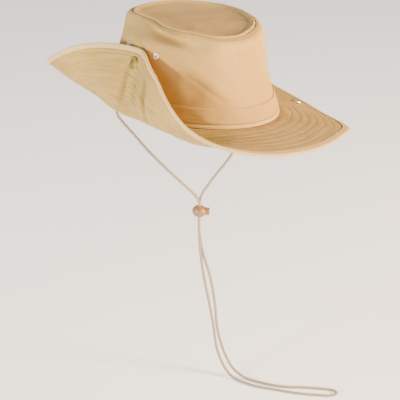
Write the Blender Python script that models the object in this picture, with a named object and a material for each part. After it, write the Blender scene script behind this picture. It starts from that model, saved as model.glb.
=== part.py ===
"""Bush hat with one side of its brim snapped up, and a chin cord with a cord lock.

Metres, +Z up. The hat faces -Y. The origin is the middle of the head opening,
at the height of the seam between crown and brim.
"""
import math
from functools import lru_cache

import bmesh
import bpy
from mathutils import Vector
from mathutils.bvhtree import BVHTree

# Crown
HEAD_LENGTH = 0.204        # outside of the crown's foot, front to back
HEAD_WIDTH = 0.163         # outside of the crown's foot, side to side
CROWN_HEIGHT = 0.094       # foot seam to top seam
CROWN_CLOTH = 0.0015
TIP_LENGTH = 0.1425        # top seam, front to back
TIP_WIDTH = 0.1217         # top seam, side to side
TIP_BACK = 0.0016          # how far the top seam sits behind the middle of the foot
TIP_RISE_BACK = 0.0023     # how much higher the top seam is at the back than at its middle
TIP_RISE_RIGHT = 0.0017    # and at the right
TIP_DIP = 0.0037           # how far it dips at the front
TIP_DIP_ANGLE = 262.0
TIP_ROLL = 0.0018          # height of the rolled seam round the top panel
TIP_SINK = 0.0015          # depth of the top panel below that seam
SEAM_ALLOWANCE = 0.0012    # how far the crown's cloth passes below the brim's middle

# Band
WELT_HEIGHT = 0.0042
WELT_CLOTH = 0.0015
BAND_HEIGHT = 0.0170
BAND_CLOTH = 0.0012

# Brim
BRIM_WIDTH = 0.0750        # crown to edge, along the cloth
BRIM_CLOTH = 0.0018        # two layers, quilted together by the rows of stitches
BRIM_EDGE_CLOTH = 0.0010   # the same two layers, pressed flat inside the binding
BINDING_WIDTH = 0.0065     # on the brim's top
BINDING_WIDTH_BELOW = 0.0040
BINDING_CLOTH = 0.0010

# Eyelets and snaps
EYELET_DIAMETER = 0.0070
EYELET_HOLE = 0.0028
EYELET_FLANGE = 0.0007
SNAP_LEFT_ANGLE = 178.0
SNAP_RIGHT_ANGLE = -13.0
SNAP_LEFT_INSET = 0.0145   # snap's middle to the brim's edge
SNAP_RIGHT_INSET = 0.0230
SNAP_DIAMETER = 0.0135
SNAP_CAP_HEIGHT = 0.0022
SNAP_SOCKET_HEIGHT = 0.0024
SNAP_POST = 0.0024
SNAP_STAND_OFF = 0.0062    # crown's face to the middle of the brim's cloth, across the closed snap

# Chin cord and its lock
CORD_DIAMETER = 0.0032
CORD_TAB_WIDTH = 0.0120
CORD_TAB_HEIGHT = 0.0090
CORD_TAB_CLOTH = 0.0012
CORD_END_ANGLE = 154.0     # left end of the cord; the right end is straight across the head
LOCK_CENTRE = Vector((0.0108, -0.0062, -0.1235))
LOCK_TURN = -43.0          # degrees from +X to the side that the plunger comes out of
LOCK_WIDTH = 0.0158
LOCK_HEIGHT = 0.0136
PLUNGER_DIAMETER = 0.0086
PLUNGER_REACH = 0.0112     # lock's middle to the plunger's outer end
PLUNGER_TRAVEL = 0.0016
PLUNGER_WALL = 0.0012      # beyond the strands, at the plunger's inner end

GAP = 0.0003               # between pieces that touch

# Fineness of the meshes
CROWN_STEPS = 52
FLAP_FROM = 140.0
FLAP_TO = 240.0
FLAP_STEP = 4.5
BRIM_STEP = 8.0
PATH_STEPS = 40
EYELET_SIDES = 8
SNAP_SIDES = 12
PLUNGER_SIDES = 16
LOCK_SIDES = 18

# Crown from foot to top seam: share of its height, share of the way in from foot to seam
CROWN_PROFILE = (
    (0.00, 0.00),
    (0.25, 0.19),
    (0.42, 0.31),
    (0.60, 0.45),
    (0.76, 0.57),
    (0.88, 0.68),
    (0.95, 0.76),
    (0.985, 0.87),
    (1.00, 1.00),
)

# Dents of the crown: name, angle, share of height, reach in degrees, reach in height, depth as a share of height
CROWN_DENTS = (
    ("front left shoulder", 212, 0.96, 34, 0.30, 0.078),
    ("left front hollow", 226, 0.52, 20, 0.24, 0.022),
    ("front hollow", 278, 0.60, 22, 0.26, 0.012),
    ("back hollow", 96, 0.55, 34, 0.26, 0.024),
    ("right back hollow", 48, 0.66, 24, 0.24, 0.020),
    ("right front hollow", 312, 0.50, 30, 0.48, 0.030),
    ("left back shoulder", 126, 0.98, 40, 0.16, -0.032),
    ("left shoulder", 164.5, 1.02, 50, 0.22, 0.186),
    ("left back hollow", 146, 0.74, 26, 0.26, 0.012),
    ("right shoulder", 6, 0.95, 50, 0.30, -0.028),
)

# Vent eyelets: name, angle, height above the foot seam
EYELETS = (
    ("eyelet_left_front", 192.2, 0.0680),
    ("eyelet_left_back", 162.0, 0.0708),
    ("eyelet_right_front", -12.2, 0.0680),
    ("eyelet_right_back", 18.0, 0.0708),
)

# Top panel from seam to middle: share of the outline, height in rolls, depth in sinks
TIP_PROFILE = (
    ("seam edge", 1.000, 0.2, 0.0),
    ("roll", 0.972, 1.0, 0.0),
    ("inside of roll", 0.940, 0.6, -0.1),
    ("slope", 0.860, 0.1, -0.6),
    ("panel", 0.620, 0.0, -1.0),
    ("middle", 0.300, 0.0, -0.9),
)

# Brim by angle round the hat: how steeply it rises, in degrees, at four places from crown to edge
RISE_PLACES = (0.0, 0.15, 0.50, 1.0)
BRIM_SECTIONS = (
    ("right", 0.0, -12, -13, -14, -16),
    ("right, behind the snap", 22.5, -5, -4, -4, -7),
    ("right back", 45.0, -3, -2, -2, -3),
    ("back, right of the middle", 67.5, -3, -2, -2, -2),
    ("back", 90.0, -3, -2, 1, 7),
    ("back, left of the middle", 112.5, 5, 8, 16, 28),
    ("left back", 135.0, 23, 26, 39, 56),
    ("left, behind the snap", 157.5, 48, 73, 83, 90),
    ("left", 180.0, 58, 94, 100, 111),
    ("left, before the snap", 202.5, -24, 31, 93, 99),
    ("left front", 225.0, -29, -17, 28, 46),
    ("front, left of the middle", 247.5, -13, -4, 1, 1),
    ("front", 270.0, -6, -5, -4, -5),
    ("front, right of the middle", 292.5, -6, -5, -4, -3),
    ("right front", 315.0, -13, -14, -13, -13),
    ("right, before the snap", 337.5, -16, -18, -19, -19),
)

# Soft folds of the brim: name, angle, reach in degrees, from and to as shares of the width, height as a share
BRIM_FOLDS = (
    ("fold below the snap", 176, 9, 0.05, 0.62, 0.030),
    ("fold before the snap", 193, 9, 0.05, 0.80, -0.034),
    ("fold behind the snap", 162, 10, 0.15, 0.85, -0.022),
    ("pull at the left front", 208, 10, 0.20, 0.90, 0.020),
    ("wave at the back", 80, 20, 0.30, 1.30, 0.020),
    ("wave at the right back", 40, 18, 0.30, 1.30, -0.018),
)

# Route of the chin cord, in millimetres, from its left end to its right end
CORD_ROUTE = (
    (-69.6, 43.1, 2.9), (-69.6, 43.1, -0.8), (-69.7, 42.6, -5), (-69.3, 40.5, -11), (-66, 38, -17),
    (-54, 31, -33), (-40, 23, -52), (-24, 14, -71), (-7.5, 5.5, -89), (5.8, -2.8, -104),
    (9, -6.4, -111), (9.7, -7.4, -117.5), (9.7, -7.4, -124), (9.7, -7.4, -131), (10, -8.1, -147),
    (12, -9.5, -173), (15, -13, -200), (19, -18, -228), (23, -23, -258), (26.5, -26.5, -286),
    (32, -34, -308), (34, -47, -317.5), (35, -63, -318), (40, -80, -318), (51, -100, -318),
    (63, -120, -318), (76, -136, -318), (86, -146, -318), (94, -149, -318), (99, -146, -318),
    (99, -139, -318), (91.5, -129, -318), (79, -115, -318), (65, -102, -318), (55, -87, -318),
    (48, -70, -318), (43.5, -54, -317), (38.5, -39.5, -308), (32, -30, -286), (27, -25, -260),
    (25, -22, -232), (21, -16.5, -200), (15.5, -9.5, -173), (12.5, -5.6, -148), (11.9, -5, -131),
    (11.9, -5, -124), (11.9, -5, -117.5), (12.2, -5.6, -110), (14.4, -8, -101), (23, -14, -85),
    (33, -20, -70), (41, -24, -57), (56, -32, -29), (65.5, -39.5, -13), (69.5, -42.8, -5),
    (69.6, -43.1, -0.8), (69.6, -43.1, 2.9),
)
SAMPLES_PER_SPAN = 1.5


def oval(angle, length, width):
    """Point of an oval round the head, as a flat vector."""
    turn = math.radians(angle)
    return Vector((width / 2 * math.cos(turn), length / 2 * math.sin(turn), 0))


def outward(angle):
    """Level direction square to the crown's foot."""
    turn = math.radians(angle)
    return Vector((math.cos(turn) / HEAD_WIDTH, math.sin(turn) / HEAD_LENGTH, 0)).normalized()


def between(rows, place):
    """Value at a place in rows of (place, value), along straight lines."""
    for (start, low), (end, high) in zip(rows, rows[1:]):
        if place <= end:
            share = max(0.0, (place - start) / (end - start))
            return low + (high - low) * share
    return rows[-1][1]


def bump(distance, reach):
    """Soft hump: 1 in the middle, 0 from the reach outwards."""
    share = min(1.0, abs(distance) / reach)
    return (1 - share * share) ** 2


def turn_between(angle, other):
    """Smallest angle from one direction to another, in degrees."""
    return (angle - other + 180.0) % 360.0 - 180.0


def dent_depth(angle, share):
    """How far the crown is pushed in at a place."""
    depth = 0.0
    for name, middle, height, reach_round, reach_up, amount in CROWN_DENTS:
        round_hat = bump(turn_between(angle, middle), reach_round)
        depth += CROWN_HEIGHT * amount * round_hat * bump(share - height, reach_up)
    pull, height = snap_pull()
    return depth - pull * bump(turn_between(angle, SNAP_LEFT_ANGLE), 24) * bump(share - height, 0.32)


@lru_cache
def snap_pull():
    """How far out the closed snap pulls the crown's side, and at which share of its height."""
    point, _ = snap_place(SNAP_LEFT_ANGLE, SNAP_LEFT_INSET)
    share = point.z / CROWN_HEIGHT
    away = outward(SNAP_LEFT_ANGLE).dot(point - plain_crown_point(SNAP_LEFT_ANGLE, share))
    return away - SNAP_STAND_OFF, share


def plain_crown_point(angle, share):
    """Point of the crown's outer face before it is dented or pulled."""
    reach = between(CROWN_PROFILE, share)
    foot = oval(angle, HEAD_LENGTH, HEAD_WIDTH)
    seam = oval(angle, TIP_LENGTH, TIP_WIDTH) + Vector((0, TIP_BACK, 0))
    point = foot.lerp(seam, reach)
    turn = math.radians(angle)
    lean = TIP_RISE_BACK * math.sin(turn) + TIP_RISE_RIGHT * math.cos(turn)
    lean -= TIP_DIP * bump(turn_between(angle, TIP_DIP_ANGLE), 50)
    point.z = share * CROWN_HEIGHT + max(0.0, share) * lean
    return point


def crown_point(angle, share, out=0.0):
    """Point of the crown's outer face, or of a face lying a little further out."""
    return plain_crown_point(angle, share) + outward(angle) * (out - dent_depth(angle, share))


def crown_normal(angle, share):
    """Direction square to the crown's outer face."""
    low = max(0.0, share - 0.02)
    high = min(1.0, share + 0.02)
    up = crown_point(angle, high) - crown_point(angle, low)
    along = crown_point(angle + 1, share) - crown_point(angle - 1, share)
    return along.cross(up).normalized()


def rise(angle, share):
    """Steepness of the brim in degrees, smooth round the hat."""
    step = 360.0 / len(BRIM_SECTIONS)
    place = (angle % 360.0) / step
    first = int(place)
    t = place - first
    rows = [BRIM_SECTIONS[(first + offset) % len(BRIM_SECTIONS)][2:] for offset in (-1, 0, 1, 2)]
    values = []
    for before, start, end, after in zip(*rows):
        slope_in = (end - before) / 2
        slope_out = (after - start) / 2
        values.append((2 * t ** 3 - 3 * t ** 2 + 1) * start + (t ** 3 - 2 * t ** 2 + t) * slope_in
                      + (3 * t ** 2 - 2 * t ** 3) * end + (t ** 3 - t ** 2) * slope_out)
    return between(list(zip(RISE_PLACES, values)), share)


def ledge():
    """Level start of the brim, under the welt."""
    return GAP * 2 + WELT_CLOTH + BRIM_CLOTH / 2


def brim_path(angle):
    """Middle line of the brim's cloth from crown to edge, as (point, upper normal) pairs."""
    point = oval(angle, HEAD_LENGTH, HEAD_WIDTH) + outward(angle) * GAP
    step = (BRIM_WIDTH - GAP) / PATH_STEPS
    path = [(point, Vector((0, 0, 1)))]
    for index in range(PATH_STEPS):
        gone = (index + 0.5) * step
        share = max(0.0, (gone - ledge()) / (BRIM_WIDTH - ledge()))
        steepness = math.radians(rise(angle, share)) if gone > ledge() else 0.0
        point = point + (outward(angle) * math.cos(steepness) + Vector((0, 0, math.sin(steepness)))) * step
        normal = Vector((0, 0, math.cos(steepness))) - outward(angle) * math.sin(steepness)
        path.append((point, normal))
    return path


def fold_height(angle, share):
    """How far the brim's soft folds lift it off its plain shape."""
    height = 0.0
    for name, middle, reach, start, end, amount in BRIM_FOLDS:
        along = bump(share - (start + end) / 2, (end - start) / 2)
        height += BRIM_WIDTH * amount * along * bump(turn_between(angle, middle), reach)
    return height


def brim_place(path, angle, share):
    """Point and upper normal of the brim at a share of its width."""
    place = share * PATH_STEPS
    first = min(int(place), PATH_STEPS - 1)
    part = place - first
    point = path[first][0].lerp(path[first + 1][0], part)
    normal = path[first][1].lerp(path[first + 1][1], part).normalized()
    return point + normal * fold_height(angle, share), normal


def brim_angles():
    """Directions of the brim's sections, closer together along the turned-up side."""
    flap_count = round((FLAP_TO - FLAP_FROM) / FLAP_STEP)
    rest_count = round((360 - FLAP_TO + FLAP_FROM) / BRIM_STEP)
    flap = [FLAP_FROM + (FLAP_TO - FLAP_FROM) * index / flap_count for index in range(flap_count)]
    rest = [FLAP_TO + (360 - FLAP_TO + FLAP_FROM) * index / rest_count for index in range(rest_count)]
    return flap + rest


def snap_place(angle, inset):
    """Point and upper normal of the brim where a snap sits."""
    return brim_place(brim_path(angle), angle, 1 - inset / BRIM_WIDTH)


def colour(code):
    """Linear colour of a hex code such as D9BC91."""
    parts = [int(code[index:index + 2], 16) / 255 for index in (0, 2, 4)]
    return tuple(p / 12.92 if p <= 0.04045 else ((p + 0.055) / 1.055) ** 2.4 for p in parts) + (1.0,)


def finish(thing, code, roughness, metallic=0.0):
    """Give a piece a material of its own."""
    material = bpy.data.materials.new(thing.name)
    material.use_nodes = True
    shader = material.node_tree.nodes["Principled BSDF"]
    shader.inputs["Base Color"].default_value = colour(code)
    shader.inputs["Roughness"].default_value = roughness
    shader.inputs["Metallic"].default_value = metallic
    thing.data.materials.append(material)


def new_object(name, bm, smooth=40):
    """Turn a bmesh into an object with its faces pointing out."""
    bmesh.ops.recalc_face_normals(bm, faces=bm.faces)
    mesh = bpy.data.meshes.new(name)
    bm.to_mesh(mesh)
    bm.free()
    mesh.shade_smooth()
    mesh.set_sharp_from_angle(angle=math.radians(smooth))
    thing = bpy.data.objects.new(name, mesh)
    bpy.context.collection.objects.link(thing)
    return thing


def skin(name, rings, closed):
    """Solid through a row of rings; the row either closes on itself or is capped at both ends.

    Quads are split along their short diagonal, so that walls lying side by side bend alike.
    """
    bm = bmesh.new()
    loops = [[bm.verts.new(point) for point in ring] for ring in rings]
    pairs = list(zip(loops, loops[1:]))
    if closed:
        pairs.append((loops[-1], loops[0]))
    for low, high in pairs:
        for index, vertex in enumerate(low):
            after = (index + 1) % len(low)
            bm.faces.new((vertex, low[after], high[after], high[index]))
    bmesh.ops.triangulate(bm, faces=bm.faces, quad_method="SHORT_EDGE")
    if not closed:
        bm.faces.new(loops[0])
        bm.faces.new(loops[-1])
    return new_object(name, bm)


def turned(name, profile, sides, closed=False):
    """Solid of revolution about Z through (radius, height) points."""
    bm = bmesh.new()
    verts = [bm.verts.new((radius, 0, height)) for radius, height in profile]
    edges = [bm.edges.new(pair) for pair in zip(verts, verts[1:])]
    if closed:
        edges.append(bm.edges.new((verts[-1], verts[0])))
    bmesh.ops.spin(bm, geom=verts + edges, cent=(0, 0, 0), axis=(0, 0, 1), angle=math.tau,
                   steps=sides, use_merge=True)
    bmesh.ops.remove_doubles(bm, verts=bm.verts, dist=0.00001)
    return new_object(name, bm)


def stand(thing, point, direction):
    """Put a turned piece at a point, with its axis along a direction."""
    thing.location = point
    thing.rotation_euler = direction.to_track_quat("Z", "Y").to_euler()
    return thing


def cut(thing, cutter):
    """Cut one piece with another, which is left as a hidden guide."""
    cutter.hide_render = True
    cutter.display_type = "WIRE"
    modifier = thing.modifiers.new(cutter.name, "BOOLEAN")
    modifier.operation = "DIFFERENCE"
    modifier.solver = "EXACT"
    modifier.object = cutter


def hole(thing, name, point, direction, radius, depth):
    """Round hole through a cloth wall."""
    cutter = turned(name, ((0, -depth), (radius, -depth), (radius, depth), (0, depth)), SNAP_SIDES)
    cut(thing, stand(cutter, point, direction))


def ring_round_crown(share, out):
    """One ring of points round the crown."""
    angles = [360 * index / CROWN_STEPS for index in range(CROWN_STEPS)]
    return [crown_point(angle, share, out) for angle in angles]


def inner_ring(share):
    """Ring of the crown's inner face, one cloth in from the outer face."""
    angles = [360 * index / CROWN_STEPS for index in range(CROWN_STEPS)]
    return [crown_point(angle, share) - crown_normal(angle, share) * CROWN_CLOTH for angle in angles]


def make_crown_side():
    """Side wall of the crown, open below for the head."""
    shares = [-SEAM_ALLOWANCE / CROWN_HEIGHT] + [share for share, reach in CROWN_PROFILE]
    outer = [ring_round_crown(share, 0.0) for share in shares]
    inner = [inner_ring(share) for share in reversed(shares)]
    wall = skin("crown_side", outer + inner, closed=True)
    finish(wall, "D9BC91", 0.85)
    return wall


def tip_ring(outline, height):
    """Ring of the top panel, inside the crown's top seam."""
    middle = Vector((0, 0, 0))
    seam = ring_round_crown(1.0, -CROWN_CLOTH * 0.55 - GAP * 1.5)
    for point in seam:
        middle += point / len(seam)
    ring = []
    for point in seam:
        place = middle.lerp(point, outline)
        place.z += height
        ring.append(place)
    return ring


def make_crown_tip():
    """Top panel of the crown, sunk inside its rolled seam."""
    upper = []
    lower = []
    for name, outline, rolls, sinks in TIP_PROFILE:
        height = TIP_ROLL * rolls + TIP_SINK * sinks
        upper.append(tip_ring(outline, height))
        lower.append(tip_ring(outline, height - CROWN_CLOTH))
    panel = skin("crown_tip", upper[::-1] + lower, closed=False)
    finish(panel, "C8AB80", 0.85)


def make_ring_of_cloth(name, low, high, cloth, code):
    """Strip of cloth round the crown, between two heights."""
    foot = low / CROWN_HEIGHT
    top = high / CROWN_HEIGHT
    middle = (foot + top) / 2
    inner = GAP
    outer = GAP + cloth
    rings = [ring_round_crown(foot, inner), ring_round_crown(foot, outer)]
    rings.append(ring_round_crown(middle, outer))
    rings.append(ring_round_crown(top, outer))
    rings.append(ring_round_crown(top, inner))
    strip = skin(name, rings, closed=True)
    finish(strip, code, 0.85)


def make_band():
    """Band round the foot of the crown, and the light welt under it."""
    foot = BRIM_CLOTH / 2 + GAP
    welt_top = foot + WELT_HEIGHT
    make_ring_of_cloth("band_welt", foot, welt_top, WELT_CLOTH, "E3C89F")
    make_ring_of_cloth("hat_band", welt_top + GAP, welt_top + GAP + BAND_HEIGHT, BAND_CLOTH, "D6B98E")


def brim_places(tape):
    """Places from crown to edge as (share of the width, cloth's thickness), pressed flat under the tape."""
    pressed = 1 - tape / BRIM_WIDTH
    places = [(0.0, BRIM_CLOTH), (ledge() / BRIM_WIDTH, BRIM_CLOTH)]
    places += [(share, BRIM_CLOTH) for share in (0.11, 0.20, 0.33, 0.47, 0.61, 0.76)]
    return places + [(pressed - 0.02, BRIM_CLOTH), (pressed, BRIM_EDGE_CLOTH), (1.0, BRIM_EDGE_CLOTH)]


def make_brim():
    """Stitched brim, one wall of cloth from the crown's foot to its edge."""
    sections = []
    for angle in brim_angles():
        path = brim_path(angle)
        upper = []
        lower = []
        for share, cloth in brim_places(BINDING_WIDTH):
            point, normal = brim_place(path, angle, share)
            upper.append(point + normal * cloth / 2)
        for share, cloth in brim_places(BINDING_WIDTH_BELOW):
            point, normal = brim_place(path, angle, share)
            lower.append(point - normal * cloth / 2)
        sections.append(upper + lower[::-1])
    brim = skin("brim", sections, closed=True)
    finish(brim, "CDB083", 0.85)
    return brim


def make_binding():
    """Tape folded round the brim's edge."""
    near = BRIM_EDGE_CLOTH / 2 + GAP
    far = near + BINDING_CLOTH
    sections = []
    for angle in brim_angles():
        path = brim_path(angle)
        above, above_normal = brim_place(path, angle, 1 - (BINDING_WIDTH - GAP) / BRIM_WIDTH)
        below, below_normal = brim_place(path, angle, 1 - (BINDING_WIDTH_BELOW - GAP) / BRIM_WIDTH)
        edge, normal = brim_place(path, angle, 1.0)
        before, _ = brim_place(path, angle, 1 - 0.5 / PATH_STEPS)
        on = (edge - before).normalized()
        section = [
            above + above_normal * far,
            edge + normal * far,
            edge + on * far,
            edge - normal * far,
            below - below_normal * far,
            below - below_normal * near,
            edge - normal * near + on * GAP,
            edge + normal * near + on * GAP,
            above + above_normal * near,
        ]
        sections.append(section)
    tape = skin("brim_binding", sections, closed=True)
    finish(tape, "E2C7A0", 0.8)


def make_eyelet(name, crown_side, angle, height):
    """Metal vent eyelet, a flanged tube through the crown's side."""
    share = height / CROWN_HEIGHT
    normal = crown_normal(angle, share)
    point = crown_point(angle, share)
    outer = EYELET_DIAMETER / 2
    inner = EYELET_HOLE / 2
    barrel = inner + EYELET_FLANGE
    inside = -seat_on(crown_side, point, -normal, outer)
    seat = seat_on(crown_side, point, normal, outer)
    profile = (
        (inner, inside - EYELET_FLANGE),
        (outer * 0.85, inside - EYELET_FLANGE),
        (outer * 0.85, inside),
        (barrel, inside),
        (barrel, seat),
        (outer, seat),
        (outer * 0.8, seat + EYELET_FLANGE),
        (inner, seat + EYELET_FLANGE * 0.6),
    )
    hole(crown_side, name + "_hole", point, normal, barrel + GAP * 1.3, CROWN_CLOTH * 3)
    eyelet = stand(turned(name, profile, EYELET_SIDES, closed=True), point, normal)
    finish(eyelet, "E6E0D4", 0.35, 1.0)


def seat_on(cloth, point, direction, radius):
    """Distance along a direction, from a point on the cloth, at which a flat disc clears the cloth."""
    tree = BVHTree.FromPolygons([vertex.co for vertex in cloth.data.vertices],
                                [face.vertices for face in cloth.data.polygons])
    side = direction.orthogonal().normalized()
    other = direction.cross(side)
    highest = 0.0
    for share in (0.0, 0.5, 1.0):
        for index in range(SNAP_SIDES):
            turn = math.tau * index / SNAP_SIDES
            start = point + (side * math.cos(turn) + other * math.sin(turn)) * radius * share
            hit = tree.ray_cast(start + direction * radius, -direction, radius * 2)[0]
            if hit:
                highest = max(highest, (hit - point).dot(direction))
    return highest + GAP


def make_snap_on_brim(side, brim, angle, inset):
    """Cap under the brim, its post through the cloth, and the socket on the brim's top."""
    point, normal = snap_place(angle, inset)
    radius = SNAP_DIAMETER / 2
    seat = seat_on(brim, point, -normal, radius)
    socket_seat = seat_on(brim, point, normal, radius * 0.8)
    post = SNAP_POST / 2
    cap = (
        (0, -socket_seat - SNAP_SOCKET_HEIGHT * 0.25),
        (post, -socket_seat - SNAP_SOCKET_HEIGHT * 0.25),
        (post, seat),
        (radius, seat),
        (radius, seat + SNAP_CAP_HEIGHT * 0.5),
        (radius * 0.84, seat + SNAP_CAP_HEIGHT),
        (radius * 0.68, seat + SNAP_CAP_HEIGHT * 0.62),
        (0, seat + SNAP_CAP_HEIGHT * 0.95),
    )
    finish(stand(turned("snap_cap_" + side, cap, SNAP_SIDES), point, -normal), "B39F5E", 0.4, 1.0)
    bore = snap_bore()
    back = post + GAP
    socket = (
        (back, socket_seat),
        (radius * 0.80, socket_seat),
        (radius * 0.76, socket_seat + SNAP_SOCKET_HEIGHT * 0.6),
        (radius * 0.55, socket_seat + SNAP_SOCKET_HEIGHT),
        (bore, socket_seat + SNAP_SOCKET_HEIGHT),
        (bore, socket_seat + SNAP_SOCKET_HEIGHT * 0.35),
        (back, socket_seat + SNAP_SOCKET_HEIGHT * 0.35),
    )
    ring = turned("snap_socket_" + side, socket, SNAP_SIDES, closed=True)
    finish(stand(ring, point, normal), "C9C3B4", 0.3, 1.0)
    hole(brim, "snap_hole_" + side, point, normal, post + GAP * 1.3, BRIM_CLOTH * 2)


def snap_bore():
    """Inner radius of a snap's socket."""
    return SNAP_DIAMETER * 0.19


def crown_ahead(crown_side, point, direction):
    """Distance from a point, along a direction, to the crown's outer face."""
    tree = BVHTree.FromPolygons([vertex.co for vertex in crown_side.data.vertices],
                                [face.vertices for face in crown_side.data.polygons])
    return tree.ray_cast(point, direction)[3]


def make_stud(side, crown_side, point, normal, head_height):
    """Stud riveted through the crown's side; its head stands out along the normal."""
    base = SNAP_DIAMETER * 0.36
    seat = seat_on(crown_side, point, normal, base)
    back = -seat_on(crown_side, point, -normal, base)
    disc = SNAP_CAP_HEIGHT * 0.35
    post = SNAP_POST / 2
    head = snap_bore() - GAP
    profile = (
        (0, back - disc),
        (base, back - disc),
        (base, back),
        (post, back),
        (post, seat),
        (base, seat),
        (base, seat + disc),
        (head * 0.8, seat + disc),
        (head * 0.8, head_height - SNAP_SOCKET_HEIGHT * 0.3),
        (head, head_height - SNAP_SOCKET_HEIGHT * 0.1),
        (0, head_height),
    )
    stud = stand(turned("snap_stud_" + side, profile, SNAP_SIDES), point, normal)
    finish(stud, "C9C3B4", 0.3, 1.0)
    hole(crown_side, "stud_hole_" + side, point, normal, post + GAP * 1.3, CROWN_CLOTH * 3)


def make_snaps(crown_side, brim):
    """Closed snap at the left, open one at the right."""
    make_snap_on_brim("left", brim, SNAP_LEFT_ANGLE, SNAP_LEFT_INSET)
    make_snap_on_brim("right", brim, SNAP_RIGHT_ANGLE, SNAP_RIGHT_INSET)
    point, normal = snap_place(SNAP_LEFT_ANGLE, SNAP_LEFT_INSET)
    away = crown_ahead(crown_side, point, normal)
    socket_floor = seat_on(brim, point, normal, SNAP_DIAMETER * 0.4) + SNAP_SOCKET_HEIGHT * 0.35
    head = away - socket_floor - GAP
    make_stud("left", crown_side, point + normal * away, -normal, head)
    share = point.z / CROWN_HEIGHT
    right = crown_point(SNAP_RIGHT_ANGLE, share)
    make_stud("right", crown_side, right, crown_normal(SNAP_RIGHT_ANGLE, share), head)


def make_cord_tab(name, angle):
    """Small tab sewn inside the crown's foot; an end of the cord is sewn in under it."""
    inside = -CROWN_CLOTH - GAP * 1.5
    spread = math.degrees(CORD_TAB_WIDTH / 2 / (HEAD_WIDTH / 2))
    foot = CORD_DIAMETER
    sections = []
    for place in (-1.0, 0.0, 1.0):
        turn = angle + spread * place
        corners = []
        for height, out in ((0, 0), (1, 0), (1, -1), (0, -1)):
            share = (foot + CORD_TAB_HEIGHT * height) / CROWN_HEIGHT
            corners.append(crown_point(turn, share, inside + CORD_TAB_CLOTH * 3 * out))
        sections.append(corners)
    tab = skin(name, sections, closed=False)
    finish(tab, "CDB083", 0.85)


def cord_points():
    """The cord's route read as a smooth curve, with a few points for each span."""
    route = [Vector(point) / 1000 for point in CORD_ROUTE]
    route = [route[0] * 2 - route[1]] + route + [route[-1] * 2 - route[-2]]
    spans = len(CORD_ROUTE) - 1
    count = round(spans * SAMPLES_PER_SPAN)
    points = []
    for index in range(count + 1):
        place = min(index / count * spans, spans - 1e-6)
        first = int(place)
        t = place - first
        before, start, end, after = route[first:first + 4]
        points.append(start * 1.0 + (end - before) * t / 2 + (before * 2 - start * 5 + end * 4 - after) * t * t / 2
                      + (start * 3 - before - end * 3 + after) * t ** 3 / 2)
    return points


def make_cord():
    """Chin cord: one braided cord from side to side, folded at the end of its tail."""
    curve = bpy.data.curves.new("chin_cord", "CURVE")
    curve.dimensions = "3D"
    curve.bevel_depth = CORD_DIAMETER / 2
    curve.bevel_resolution = 2
    curve.use_fill_caps = True
    points = cord_points()
    spline = curve.splines.new("POLY")
    spline.points.add(len(points) - 1)
    for place, point in zip(spline.points, points):
        place.co = (point.x, point.y, point.z, 1.0)
    cord = bpy.data.objects.new("chin_cord", curve)
    bpy.context.collection.objects.link(cord)
    finish(cord, "D8CAB6", 0.8)


def cord_slot(name, travel, depth):
    """Upright slot that holds the two strands, side by side across the plunger's way, and lets it travel."""
    radius = CORD_DIAMETER / 2 + GAP * 0.6
    outline = []
    for side, first in ((1, 0), (-1, 180)):
        middle = side * (CORD_DIAMETER + GAP * 0.4) / 2
        for step in range(6):
            turn = math.radians(first + 36 * step)
            x = radius * math.cos(turn)
            outline.append((x + travel if x > 0 else x, middle + radius * math.sin(turn)))
    rings = [[Vector((x, y, z)) for x, y in outline] for z in (-depth, depth)]
    return skin(name, rings, closed=False)


def turn_to_lock(thing):
    """Put a piece of the lock in its place."""
    thing.location = LOCK_CENTRE
    thing.rotation_euler = (0, 0, math.radians(LOCK_TURN))
    return thing


def plunger_inner_end():
    """Where the plunger ends inside the lock, from the lock's middle."""
    return -CORD_DIAMETER / 2 - GAP * 0.6 - PLUNGER_WALL


def make_lock_body():
    """Wooden ball, bored for the two strands and for the plunger."""
    bm = bmesh.new()
    bmesh.ops.create_uvsphere(bm, u_segments=LOCK_SIDES, v_segments=10, radius=LOCK_WIDTH / 2)
    bmesh.ops.scale(bm, vec=(1, 1, LOCK_HEIGHT / LOCK_WIDTH), verts=bm.verts)
    ball = turn_to_lock(new_object("cord_lock_body", bm))
    cut(ball, turn_to_lock(cord_slot("lock_strand_slot", 0.0, LOCK_HEIGHT)))
    bore = PLUNGER_DIAMETER / 2 + GAP
    floor = plunger_inner_end() - PLUNGER_TRAVEL - GAP
    cutter = turned("lock_plunger_bore", ((0, floor), (bore, floor), (bore, LOCK_WIDTH), (0, LOCK_WIDTH)),
                    PLUNGER_SIDES)
    cutter.location = LOCK_CENTRE
    cutter.rotation_euler = (0, math.radians(90), math.radians(LOCK_TURN))
    cut(ball, cutter)
    finish(ball, "BE9A70", 0.45)


def make_plunger():
    """Plunger that slides in the ball, slotted for the strands over its whole travel."""
    radius = PLUNGER_DIAMETER / 2
    bevel = radius * 0.2
    profile = (
        (plunger_inner_end(), radius),
        (PLUNGER_REACH - bevel, radius),
        (PLUNGER_REACH, radius - bevel),
    )
    rings = []
    for x, size in profile:
        turns = [math.tau * index / PLUNGER_SIDES for index in range(PLUNGER_SIDES)]
        rings.append([Vector((x, size * math.cos(turn), size * math.sin(turn))) for turn in turns])
    plunger = turn_to_lock(skin("cord_lock_plunger", rings, closed=False))
    cut(plunger, turn_to_lock(cord_slot("plunger_slot", PLUNGER_TRAVEL, LOCK_HEIGHT)))
    finish(plunger, "8F6C48", 0.45)


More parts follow.
